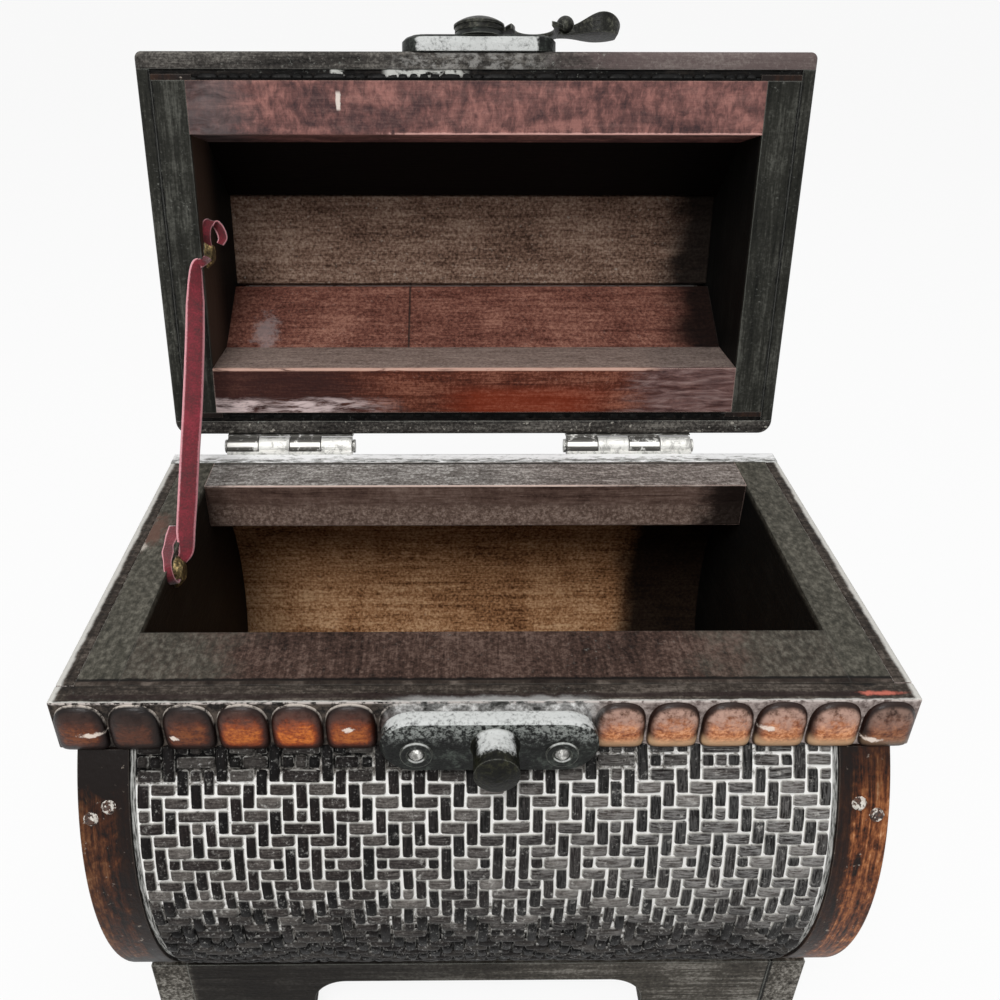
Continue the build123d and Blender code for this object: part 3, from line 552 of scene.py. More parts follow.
def chipped_nail(name):
    """Nail heads under brown lacquer with bright chips."""
    paint = Paint(name)
    grit = paint.noise(2.4, 3.0, 0.65)
    paint.colour = paint.ramp(grit, (0.36, 26, 16, 12), (0.66, 92, 62, 46))
    paint.cover(paint.noise((0.9, 0.9, 0.55), 3.0, 0.7, 0.4, 71.0).rise(0.5, 0.56) * 0.95, (226, 220, 210))
    return paint.finish(0.35 + grit * 0.3, grit, 0.3)


def velvet(name):
    """Dark red velvet with paler pink edges."""
    paint = Paint(name)
    pile = paint.noise(2.6, 4.0, 0.7)
    crush = paint.noise(0.25, 3.0, 0.6, 0.4, 6.0)
    tone = pile * 0.5 + crush * 0.5
    paint.colour = paint.ramp(tone, (0.36, 56, 4, 14), (0.52, 98, 13, 30), (0.7, 136, 34, 52))
    across = paint.attribute("across", "Fac") + (pile - 0.5) * 0.12
    paint.cover((across.fall(0.05, 0.15) * 0.9 + across.rise(0.88, 0.97) * 0.5).clamp(), (232, 158, 166))
    return paint.finish(0.8, pile, 0.12, sheen_weight=0.6, sheen_roughness=0.4)


# Touches: what differs from place to place on one wood

FRONT_SEAM_Y = -30.5
SIDE_SEAM_X = 58.5
BASE_SEAM_X = 51.3
STAVE_JOINT_X = -13.5
SCRATCH_X = -24.6
# Marks on the top of the rim: X, Y, reach along X, reach along Y and colour
BOARD_MARKS = (
    (-56.9, 7.4, 3.4, 6.5, (98, 74, 65)),
    (-57.6, 2.4, 1.6, 1.4, (188, 180, 170)),
    (-59.0, -2.6, 0.9, 2.2, (172, 170, 162)),
    (-58.6, -8.4, 1.2, 2.4, (150, 148, 140)),
)
STRIP_MARKS = (
    (55.0, -33.7, 4.0, 0.55, (198, 112, 96)),
    (52.6, -32.0, 3.0, 0.5, (8, 7, 6)),
)


def front_joint(paint):
    """Dark uneven seam behind the front strip, with the strip's colour in front of it."""
    wander = paint.noise(0.3, 4.0, 0.7, 0.0, 61.0)
    along = paint.x + (paint.noise(0.12, 3.0, 0.6, 0.3, 65.0) - 0.5) * 30.0
    granules = paint.noise((1.2, 0.8, 1.2), 4.0, 0.7, 0.0, 68.0)
    grey = paint.ramp(granules, (0.36, 48, 47, 42), (0.5, 72, 70, 63), (0.66, 106, 103, 94))
    paint.cover((1.0 - along.hill(-46.0, -28.0, 28.0, 42.0)) * 0.8, grey)
    strip = paint.ramp(wander, (0.36, 32, 26, 23), (0.52, 56, 49, 44), (0.68, 98, 89, 82))
    paint.cover(paint.y.fall(FRONT_SEAM_Y - 0.1, FRONT_SEAM_Y + 0.1), strip)
    paint.cover(abs(paint.y - FRONT_SEAM_Y + (wander - 0.5) * 0.9).fall(0.12, 0.4) * 0.9, (12, 10, 9))


def marked(paint, marks):
    """Rubbed patches and smudges with frayed outlines on the top of the rim."""
    spread = paint.noise((0.5, 0.35, 0.5), 4.0, 0.7, 0.4, 63.0)
    for x, y, reach_x, reach_y, tint in marks:
        far = paint.distance((x, y + BACK_SHIFT, RIM_Z), (1 / reach_x, 1 / reach_y, 0.5))
        paint.cover((far + spread * 2.2).fall(1.4, 2.2) * 0.85, tint)


def moulding_edges(paint):
    """Whitish worn outer edges of the strips round the rim, and a dark seam along the side strips."""
    x, y = abs(paint.x), paint.y
    wander = paint.noise(0.35, 4.0, 0.7, 0.0, 67.0)
    paint.cover(abs(x - SIDE_SEAM_X + (wander - 0.5) * 0.8).fall(0.06, 0.3) * 0.4, (16, 16, 14))
    paint.cover((y + wander).hill(-33.9, -33.6, -33.1, -32.7) * x.fall(57.0, 58.0) * 0.7, (36, 26, 26))
    marked(paint, STRIP_MARKS)
    outer = (x + wander * 0.9).rise(59.3, 59.9)
    front = (y - wander * 0.8).fall(-35.3, -35.0)
    paint.cover((outer * 0.9 + front * 0.7).clamp(), (206, 204, 198))
    near_plate = abs(paint.x - PLATE_X).fall(9.0, 16.0) * (y + wander * 2.0).fall(-33.6, -32.6)
    paint.cover(near_plate * 0.55, (176, 176, 174))


def between_ends(paint):
    """1 between the inner faces of the end boards."""
    return abs(paint.x).fall(END_INNER + 0.2, END_INNER + 0.6)


def below_rim(paint):
    """Joint and marks on the rim's top, and painted shade, nearly black, inside the body under its rim."""
    plain = paint.colour
    front_joint(paint)
    marked(paint, BOARD_MARKS)
    paint.colour = paint.mix(paint.z.rise(RIM_Z - 1.2, RIM_Z - 0.8), plain, paint.colour)
    # Painted shade inside the body, a little lighter on the left
    black = paint.mix(paint.x.fall(-20.0, 0.0) * 0.9, DEEP_BLACK, (22, 16, 11))
    paint.cover(paint.z.fall(80.4, 81.7) * between_ends(paint) * 0.97, black)


def cracked_joint(paint):
    """Black uneven crack along the joint between a side strip of the lid and its board."""
    wander = paint.noise(0.9, 3.0, 0.6, 0.0, 57.0)
    crack = (abs(abs(paint.x) - END_OUTER) + wander * 0.7).fall(0.5, 0.8)
    paint.cover(crack * paint.z.fall(LID_RIM_Z + 0.4, LID_RIM_Z + 0.8), BLACK)


def above_lid_rim(paint):
    """Painted shade inside the lid, past its rim: nearly black, a little lighter on the left."""
    cracked_joint(paint)
    # Painted shade inside the lid
    black = paint.mix(paint.x.fall(-20.0, 0.0) * paint.z.fall(88.0, 100.0), DEEP_BLACK, (66, 52, 44))
    paint.cover(paint.z.rise(LID_RIM_Z + 0.3, LID_RIM_Z + 1.4) * between_ends(paint) * 0.95, black)


def inner_shade(paint):
    """Painted shade: darker towards the right end, and a painted shadow under the rail."""
    wander = paint.noise(0.06, 3.0, 0.6, 0.3, 81.0) - 0.5
    right = (paint.x + wander * 10.0).rise(30.0, 37.0)
    high = (paint.z + wander * 6.0).rise(66.0, 73.0)
    paint.cover((right * 0.97 + high * 0.4).clamp(), (8, 4, 3))


def back_rail_faces(paint):
    """Whitish streaks on the rail's top and a greyer lower half below its maroon upper half, with painted
    shade at the right end of its face.
    """
    x, y, z = paint.x, paint.y, paint.z
    wash = paint.noise((0.35, 1.2, 1.0), 5.0, 0.72, 0.4, 44.0)
    granules = paint.noise(1.6, 4.0, 0.75, 0.0, 83.0)
    cloudy = wash * 0.5 + granules * 0.5
    greyed = paint.ramp(granules, (0.36, 84, 68, 60), (0.5, 122, 103, 93), (0.64, 170, 150, 138))
    paint.cover((z + wash * 5.0).fall(78.6, 81.4) * 0.8, greyed)
    top = z.rise(RIM_Z - 0.35, RIM_Z - 0.1)
    streaked = paint.ramp(cloudy, (0.38, 62, 58, 55), (0.5, 122, 118, 114), (0.62, 198, 195, 190))
    browned = paint.ramp(cloudy, (0.38, 58, 49, 45), (0.5, 108, 96, 90), (0.62, 168, 154, 146))
    paint.cover(top * 0.92, paint.mix((x + wash * 20.0).rise(8.0, 34.0) * 0.55, streaked, browned))
    line = z.rise(RIM_Z - 0.32, RIM_Z - 0.16) * (x + wash * 30.0).fall(34.0, 46.0)
    line = line * (x + granules * 14.0).rise(-46.0, -36.0)
    paint.cover(line * y.fall(22.75, 22.9) * 0.9, (232, 206, 194))
    paint.cover((y + (wash - 0.5) * 0.8).rise(30.7, 31.0) * top * 0.8, (34, 33, 31))
    # Painted shade at the right end of the rail's face
    paint.cover((x + (wash - 0.5) * 10.0).rise(40.0, 47.0) * (1.0 - top) * 0.9, (14, 10, 8))


def back_strip_top(paint):
    """White wash over the plain strip behind the mouth."""
    wash = paint.noise((0.4, 1.3, 1.3), 5.0, 0.75, 0.4, 46.0) + paint.y.rise(32.4, 34.2) * 0.16
    pale = paint.ramp(wash, (0.38, 72, 72, 69), (0.52, 196, 196, 194), (0.62, 250, 250, 250))
    paint.cover(paint.z.rise(80.6, 81.6) * 0.95, pale)


def worn_front_rail(paint):
    """Redder patches, a greyer left end, a white scratch and a pale lower edge on the lid's front rail."""
    x, y = paint.x, paint.y
    patches = paint.noise((0.09, 0.2, 0.2), 4.0, 0.6, 0.6, 87.0)
    brushed = paint.noise((0.7, 0.35, 1.0), 4.0, 0.7, 0.4, 89.0)
    cloudy = patches * 0.5 + brushed * 0.5
    paint.cover(0.65, paint.ramp(cloudy, (0.4, 60, 50, 53), (0.5, 112, 80, 77), (0.6, 168, 118, 110)))
    spread = paint.noise((0.12, 0.3, 0.3), 4.0, 0.65, 0.5, 85.0)
    grey = paint.ramp(spread, (0.38, 52, 47, 48), (0.62, 104, 98, 98))
    paint.cover((x + (spread - 0.5) * 26.0).fall(-47.0, -36.0) * 0.75, grey)
    flat = paint.z.fall(LID_RIM_Z + 0.2, LID_RIM_Z + 0.5)
    inner_edge = (y + brushed * 0.5).rise(-21.55, -21.35) * (x + brushed * 16.0).rise(-10.0, -4.0)
    paint.cover(inner_edge * flat * 0.75, (230, 178, 168))
    scratch = abs(x - SCRATCH_X + (brushed - 0.5) * 0.6).fall(0.25, 0.5) * y.hill(-28.8, -28.0, -25.8, -25.2)
    paint.cover(scratch * flat * 0.9, (228, 216, 206))


def dark_right_end(paint):
    """Joint of the back stave, a pale smudge, and painted shade that turns black towards the right end."""
    x, y = paint.x, paint.y
    paint.cover(abs(x - STAVE_JOINT_X).fall(0.1, 0.35) * y.rise(8.0, 10.0) * 0.7, BLACK)
    fray = paint.noise(0.7, 4.0, 0.7, 0.3, 91.0)
    far = paint.distance((-43.5, 17.5, 0.0), (0.42, 0.36, 0.0))
    paint.cover((far + (fray - 0.5) * 3.0).fall(0.5, 1.4) * 0.5, (150, 140, 140))
    # Painted shade, black towards the right end
    spread = paint.noise((0.1, 0.2, 0.2), 3.0, 0.6, 0.3, 93.0)
    paint.cover((x + (spread - 0.5) * 10.0).rise(38.0, 47.0) * 0.95, BLACK)


def glints(paint):
    """Two painted highlights: pale glints along the front joint."""
    rub = paint.noise((0.5, 0.7, 0.7), 4.0, 0.7, 0.3, 99.0)
    stretches = paint.x.hill(-17.0, -15.5, -3.5, -1.0) + paint.x.hill(-26.0, -25.4, -23.6, -23.0)
    paint.cover(stretches * paint.y.fall(-5.0, 5.0) * rub.rise(0.36, 0.5) * 0.85, (206, 206, 200))


def clasp_smudges(paint):
    """Whitish smudges on the lid's front strip, under the clasp plate, and a browner right end."""
    rub = paint.noise((0.5, 0.7, 0.7), 5.0, 0.75, 0.3, 97.0)
    paint.cover((paint.x + rub * 30.0).rise(24.0, 44.0) * 0.4, (132, 114, 112))
    paint.cover(paint.x.hill(-18.0, -10.0, 6.0, 16.0) * rub.rise(0.44, 0.62) * 0.6, (158, 156, 152))


def lid_rail_faces(paint):
    """Grey-brown ledge, and a face from dark maroon to russet and purple with a pale foot on the left."""
    x, y = paint.x, paint.y
    wash = paint.noise((0.14, 0.9, 0.9), 5.0, 0.7, 0.6, 48.0)
    paint.cover((x + wash * 16.0).fall(-22.0, -6.0) * 0.8, (50, 33, 32))
    low = (y + wash * 2.4).rise(28.2, 29.6) * (x + wash * 24.0).fall(-16.0, 0.0)
    paint.cover(low * wash.rise(0.36, 0.6) * 0.95, (216, 196, 194))
    ember = (x + wash * 10.0).hill(-4.0, 6.0, 22.0, 36.0)
    paint.cover(ember * y.rise(24.0, 27.0) * 0.45, (140, 52, 26))
    purple = paint.ramp(wash, (0.38, 62, 46, 46), (0.52, 108, 86, 84), (0.66, 150, 128, 124))
    paint.cover((x + wash * 14.0).rise(34.0, 44.0) * 0.8, purple)
    edge_line = y.fall(21.75, 21.95) * (x + wash * 12.0).fall(38.0, 44.0)
    paint.cover(edge_line * wash.rise(0.34, 0.48) * 0.8, (226, 182, 164))
    streaked = paint.ramp(wash, (0.34, 76, 65, 60), (0.52, 118, 104, 97), (0.7, 158, 144, 135))
    granules = paint.noise(1.5, 4.0, 0.75, 0.0, 49.0)
    grey = paint.mix(0.5, streaked, paint.ramp(granules, (0.38, 74, 64, 59), (0.62, 160, 145, 137)))
    paint.cover(paint.z.rise(LID_RIM_Z + 0.25, LID_RIM_Z + 0.8) * 0.93, grey)


def base_shade(paint):
    """Nearly black towards the left, grey towards the right, with the joint of the right foot."""
    cloud = paint.noise((0.05, 0.3, 0.3), 3.0, 0.6, 0.3, 51.0)
    dark = (paint.x + cloud * 30.0).fall(-10.0, 40.0) * paint.x.rise(-52.0, -50.0)
    paint.cover(dark * 0.85, (22, 19, 17))
    paint.cover(abs(paint.x - BASE_SEAM_X).fall(0.3, 0.6) * 0.9, BLACK)


RIM_GREY = ((32, 30, 25), (72, 69, 61), (134, 129, 118))
LID_BLACK = ((18, 19, 16), (44, 44, 40), (92, 92, 86))
WEATHERED = ((28, 26, 22), (76, 72, 66), (152, 148, 140))
LID_GREY = ((26, 24, 23), (62, 59, 56), (118, 114, 108))
WOODS = {
    "rim_wood": dict(tones=RIM_GREY, grain="y", dust=0.4, wear=0.08, grit=0.6, touch=below_rim),
    "back_strip_wood": dict(tones=RIM_GREY, wear=0.6, touch=back_strip_top),
    "moulding_top": dict(
        tones=((26, 22, 20), (56, 50, 45), (102, 94, 87)), dust=0.4, wear=0.15, grit=0.6, touch=moulding_edges
    ),
    "front_rail_wood": dict(
        tones=((32, 23, 20), (66, 51, 45), (104, 86, 78)),
        grain="y", dust=0.3, wear=0.1, grit=0.8, touch=front_joint,
    ),
    "back_rail_wood": dict(
        tones=((52, 37, 32), (96, 77, 69), (138, 118, 108)), wear=0.95, worn=PALE_EDGE, touch=back_rail_faces
    ),
    "panel_wood": dict(
        tones=((86, 56, 36), (164, 118, 82), (216, 176, 136)),
        dust=0.3, wear=0.0, gloss=0.7, grit=0.9, touch=inner_shade,
    ),
    "bottom_wood": dict(tones=((14, 10, 7), (30, 21, 14), (50, 36, 25)), wear=0.0, gloss=0.7),
    "base_wood": dict(tones=WEATHERED, dust=0.5, wear=0.5, touch=base_shade, grit=0.4),
    "base_side_wood": dict(tones=WEATHERED, grain="y", dust=0.7, wear=0.6, grit=0.8, touch=base_shade),
}
LID_WOODS = {
    "lid_end_wood": dict(tones=LID_BLACK, grain="y", wear=0.3, touch=above_lid_rim),
    "lid_strip_wood": dict(tones=LID_GREY, dust=0.7, wear=0.35, fleck=0.12, grit=0.6, touch=clasp_smudges),
    "lid_hinge_strip_wood": dict(tones=LID_GREY, dust=0.95, wear=0.4, fleck=0.5, grit=0.8),
    "lid_side_strip_wood": dict(tones=LID_BLACK, grain="y", wear=0.25, touch=cracked_joint),
    "lid_front_rail_wood": dict(
        tones=((54, 36, 34), (96, 66, 62), (150, 114, 106)),
        wear=0.35, worn=WORN_PINK, grit=0.5, dust=0.5, touch=worn_front_rail,
    ),
    "lid_back_rail_wood": dict(
        tones=((40, 20, 16), (92, 50, 38), (152, 100, 82)),
        dust=0.25, wear=0.85, worn=PALE_EDGE, gloss=0.42, grit=0.5, touch=lid_rail_faces,
    ),
    "lid_stave_wood": dict(
        tones=((66, 38, 32), (112, 72, 62), (156, 112, 96)),
        dust=0.3, wear=0.1, grit=0.8, touch=dark_right_end,
    ),
    # Front stave: nearly black, painted shade where it lies in shadow inside the lid
    "lid_shadow_wood": dict(tones=((4, 2, 2), (8, 4, 3), (13, 7, 6)), dust=0.0, wear=0.0),
    "lid_top_wood": dict(
        tones=((60, 44, 36), (114, 90, 77), (160, 138, 122)),
        dust=0.45, wear=0.0, fleck=0.3, gloss=0.7, grit=0.9, touch=dark_right_end,
    ),
    "glue": dict(tones=((6, 5, 5), (16, 14, 13), (42, 38, 35)), dust=0.4, wear=0.0, grit=0.6, touch=glints),
}
paints = {name: wood(name, **look) for name, look in WOODS.items()}
paints.update({name: wood(name, lid=True, **look) for name, look in LID_WOODS.items()})
paints.update({
    "beads": beaded_wood(),
    "band": band_lacquer("band_lacquer"),
    "lid_band": band_lacquer("lid_band_lacquer", True),
    "strips": cane_strips("woven_strips"),
    "lid_strips": cane_strips("lid_woven_strips", True),
    "ground": groove_dust("weave_dust"),
    "lid_ground": groove_dust("lid_weave_dust", True),
    "metal": aged_metal("aged_metal", spread=0.75),
    "stud_metal": aged_metal("aged_stud_metal", tone=(11, 11, 8)),
    "lid_metal": aged_metal("aged_lid_metal", True, (0, -1, 0.1), 11.5, turn=0.76),
    "arm_metal": aged_metal("aged_arm_metal", True, (0, 0, -1), 0.0, (17, 17, 15)),
    "tack": aged_metal("tack_metal", False, (0, 0, 1), 0.0, (52, 45, 31)),
    "steel": bright_metal("bright_metal"),
    "lid_steel": bright_metal("bright_lid_metal", True),
    "steel_leaf": bright_metal("pale_body_leaf", False, 0.5, 0.08),
    # Lid leaf: darker, as painted shade on its knuckles, with a painted highlight line
    "shaded_steel": bright_metal("shaded_lid_leaf", True, 0.92, -0.08, 1.0),
    "chipped_nail": chipped_nail("chipped_nail"),
    "velvet": velvet("velvet_ribbon"),
})

# Nodes of each paint, where * stands for left and right
NODE_PAINTS = {
    "rim_wood": "*_end_board",
    "back_strip_wood": "back_rim_strip",
    "front_rail_wood": "front_rail",
    "back_rail_wood": "back_rail",
    "panel_wood": "front_core_panel back_core_panel",
    "bottom_wood": "bottom_board",
    "base_side_wood": "*_base_board",
    "base_wood": "front_apron back_apron",
    "metal": "catch_plate",
    "stud_metal": "catch_stud",
    "chipped_nail": "band_nails lid_band_nails",
    "steel": "catch_nails body_hinge_nails *_hinge_pin",
    "tack": "body_stay_tack lid_stay_tack",
    "lid_end_wood": "lid_*_end_board",
    "lid_front_rail_wood": "lid_front_rail",
    "lid_back_rail_wood": "lid_back_rail",
    "lid_shadow_wood": "lid_front_stave",
    "lid_stave_wood": "lid_back_stave_*",
    "lid_top_wood": "lid_top_stave",
    "lid_strip_wood": "lid_front_strip",
    "lid_hinge_strip_wood": "lid_back_strip",
    "lid_side_strip_wood": "lid_*_strip",
    "lid_metal": "lid_clasp_plate",
    "arm_metal": "latch_pivot latch_arm",
    "lid_steel": "lid_clasp_nails lid_hinge_nails",
    "steel_leaf": "*_hinge_body_leaf",
    "shaded_steel": "*_hinge_lid_leaf",
    "band": "*_front_band *_back_band",
    "lid_band": "lid_*_band",
}
for paint_name, names in NODE_PAINTS.items():
    for side in ("left", "right"):
        for name in names.replace("*", side).split():
            nodes[name].data.materials.clear()
            nodes[name].data.materials.append(paints[paint_name])


# Meshes


def mesh_piece(name, verts, faces, paint_name, layers=None):
    """Object from corners and faces in one paint. With layers of values for its corners it is smooth."""
    mesh = bpy.data.meshes.new(name)
    mesh.from_pydata(verts, [], faces)
    if layers:
        mesh.polygons.foreach_set("use_smooth", [True] * len(faces))
        for key, values in layers.items():
            mesh.attributes.new(key, "FLOAT", "POINT").data.foreach_set("value", values)
    mesh.materials.append(paints[paint_name])
    made = link(name, mesh)
    return made


def four_sided_bar(name, rings, paint_name, inside_out=False):
    """Closed bar through rings of four corners."""
    verts = [corner for ring in rings for corner in ring]
    last = len(verts) - 4
    faces = []
    for start in range(0, last, 4):
        for j in range(4):
            a, b = start + j, start + (j + 1) % 4
            faces.append((a, b, b + 4, a + 4))
    faces += [(3, 2, 1, 0), (last, last + 1, last + 2, last + 3)]
    if inside_out:
        faces = [face[::-1] for face in faces]
    return mesh_piece(name, verts, faces, paint_name)


# Beaded mouldings

MOULDING_HEIGHT = 8.6
MOULDING_ROUNDING = 0.22
FRONT_THICKNESS = 3.37
SIDE_THICKNESS = 2.57
SIDE_LENGTH = 63.14
BEAD_STEP = 7.35
BEAD_GAP = 0.3
BEAD_BULGE = 1.5
BEAD_MIDDLE = -4.45
BEAD_HALF_HEIGHT = 4.1
BEAD_ROOT = 0.4
BEAD_CELLS = 14
TOP_POWER = 2.6
FOOT_POWER = 7.0
GROUND_RIM = 1.3
FRONT_STAINS = (0.85, 1.0, 0.8, 0.25, 0.05, 0.4, 0.6, 0.6, 0.6, 0.6, 0.1, 0.05, 0.0, 0.1, 0.05, 0.75)
SIDE_STAINS = (0.5, 0.7, 0.4, 0.8, 0.6)


def add_bead(mesh, centre, half, stain, put, layers, softness):
    """Closed cushion with round shoulders. put places a point, and the layers keep its own coordinates."""
    rim_layer, bead_layer = layers
    rows = []
    for i in range(BEAD_CELLS + 1):
        line = []
        for j in range(BEAD_CELLS + 1):
            u = sin(pi / 2 * (2 * i / BEAD_CELLS - 1))
            w = sin(pi / 2 * (2 * j / BEAD_CELLS - 1))
            power = TOP_POWER if w > 0 else FOOT_POWER
            rim = max(abs(u), abs(w))
            length = (abs(u) ** power + abs(w) ** power) ** (1 / power)
            share = rim / length if length else 0.0
            across, upward = u * share, w * share
            height = BEAD_BULGE * (1 - rim**2.6) ** softness if rim < 1 else 0.0
            place = (centre + across * half, -height, BEAD_MIDDLE + upward * BEAD_HALF_HEIGHT)
            vert = mesh.verts.new(put(place))
            vert[rim_layer] = rim
            vert[bead_layer] = Vector((across, upward, stain))
            line.append(vert)
        rows.append(line)
    last = BEAD_CELLS
    for i in range(last):
        for j in range(last):
            face = mesh.faces.new((rows[i][j], rows[i + 1][j], rows[i + 1][j + 1], rows[i][j + 1]))
            face.smooth = True
    border = [rows[i][0] for i in range(last)] + [rows[last][j] for j in range(last)]
    border += [rows[i][last] for i in range(last, 0, -1)] + [rows[0][j] for j in range(last, 0, -1)]
    outline = [(vert.co.copy(), vert[bead_layer].copy()) for vert in border]
    root = put((0, BEAD_ROOT, 0)) - put((0, 0, 0))
    backs = []
    for place, bead in outline:
        vert = mesh.verts.new(place + root)
        vert[rim_layer] = 1.0
        vert[bead_layer] = bead
        backs.append(vert)
    for k in range(len(border)):
        n = (k + 1) % len(border)
        mesh.faces.new((border[n], border[k], backs[k], backs[n]))
    mesh.faces.new(backs[::-1])


def beaded_moulding(name, node, length, thickness, stains, put, softness):
    """Strip with a row of carved cushions on its face."""
    count = round((length - BEAD_GAP) / BEAD_STEP)
    pitch = (length - BEAD_GAP) / count
    mesh = bmesh.new()
    layers = (mesh.verts.layers.float.new("rim"), mesh.verts.layers.float_vector.new("bead"))
    bmesh.ops.create_cube(mesh, size=1.0)
    for vert in mesh.verts:
        x, y, z = vert.co
        vert.co = Vector((x * length, (y + 0.5) * thickness, (z - 0.5) * MOULDING_HEIGHT))
    bmesh.ops.bevel(
        mesh, geom=list(mesh.edges), offset=MOULDING_ROUNDING, segments=2, affect="EDGES", profile=0.5
    )
    for face in mesh.faces:
        face.material_index = 1 if face.normal.z > 0.5 else 0
    for vert in mesh.verts:
        vert[layers[0]] = GROUND_RIM
        vert.co = put(vert.co)
    for i in range(count):
        centre = pitch * (i - (count - 1) / 2)
        add_bead(mesh, centre, (pitch - BEAD_GAP) / 2, stains[i % len(stains)], put, layers, softness)
    bmesh.ops.recalc_face_normals(mesh, faces=list(mesh.faces))
    data = bpy.data.meshes.new(name)
    mesh.to_mesh(data)
    mesh.free()
    data.materials.append(paints["beads"])
    data.materials.append(paints["moulding_top"])
    made = link(name, data)
    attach(made, "box_body")
    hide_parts(node)


def front_put(point):
    x, y, z = point
    return row((x, y - RIM_DEPTH / 2, z + RIM_Z))


def right_put(point):
    x, y, z = point
    return row((RIM_WIDTH / 2 - y, x, z + RIM_Z))


def left_put(point):
    x, y, z = point
    return row((y - RIM_WIDTH / 2, -x, z + RIM_Z))


beaded_moulding("front_beads", "front_beaded_strip", RIM_WIDTH, FRONT_THICKNESS, FRONT_STAINS, front_put, 0.5)
beaded_moulding("right_beads", "right_beaded_strip", SIDE_LENGTH, SIDE_THICKNESS, SIDE_STAINS, right_put, 1.1)
beaded_moulding("left_beads", "left_beaded_strip", SIDE_LENGTH, SIDE_THICKNESS, SIDE_STAINS, left_put, 1.1)


# Glue between the lid's long strips and the mat

GLUE_OUTER = 32.08
GLUE_INNER = LID_RADIUS + 0.5
GLUE_REACH = 57.3
GLUE_TOP = 90.6
GLUE_STEPS = 60


def glue_line(name, side, seed):
    """Dark filler with an uneven edge in the joint between a long strip of the lid and the mat."""
    chance = random.Random(seed)
    rings = []
    for i in range(GLUE_STEPS + 1):
        x = GLUE_REACH * (2 * i / GLUE_STEPS - 1)
        level = LID_RIM_Z + chance.uniform(0.12, 0.5)
        foot = ((GLUE_INNER, level), (GLUE_OUTER, level - 0.05))
        top = ((GLUE_OUTER, GLUE_TOP), (GLUE_INNER, GLUE_TOP))
        rings.append([row(opened((x, side * y, z))) for y, z in foot + top])
    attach(four_sided_bar(name, rings, "glue", side < 0), "lid")


glue_line("lid_front_glue", -1, 21)
glue_line("lid_back_glue", 1, 22)


# Woven mats

COLUMN_PITCH = 1.86
COLUMN_START = -49.27
COLUMNS = 53
ROW_PITCH = 1.93
ROW_START = -0.29
TURN_AFTER = 8
STRIP_SHARE = 0.88
STRIP_GAP = 0.2
STRIP_SHOULDER = 0.3
STRIP_LOW = 0.42
STRIP_HIGH = 1.22
# Height and width along a strip, and place and height across it, as shares
STRIP_HEIGHTS = (0.0, 0.84, 1.0, 1.0, 0.84, 0.0)
STRIP_WIDTHS = (0.86, 1.0, 1.0, 1.0, 1.0, 0.86)
STRIP_SIDES = ((-1.0, 0.0), (-0.78, 0.82), (0.0, 1.0), (0.78, 0.82), (1.0, 0.0))
GROUND_CORNERS = ((-1, 0.03), (1, 0.03), (1, 0.45), (-1, 0.45))
GROUND_STEPS = 48


def zigzag(index):
    """Falls by one a step and turns back after every eighth step."""
    return abs(index % (2 * TURN_AFTER) - TURN_AFTER)


def is_level(column, line):
    """Whether the level strip lies on top at a crossing of the herringbone."""
    return (zigzag(column - 4) + zigzag(line - 1)) % 4 in (0, 3)


def floats(columns, lines):
    """Runs of crossings where a strip stays on top: (level, column or line, first crossing, length)."""
    for level, outer, inner in ((True, lines, columns), (False, columns, lines)):
        for strip in range(outer):
            start = None
            for step in range(inner + 1):
                crossing = (step, strip) if level else (strip, step)
                on_top = step < inner and is_level(*crossing) == level
                if on_top and start is None:
                    start = step
                if not on_top and start is not None:
                    yield level, strip, start, step - start
                    start = None


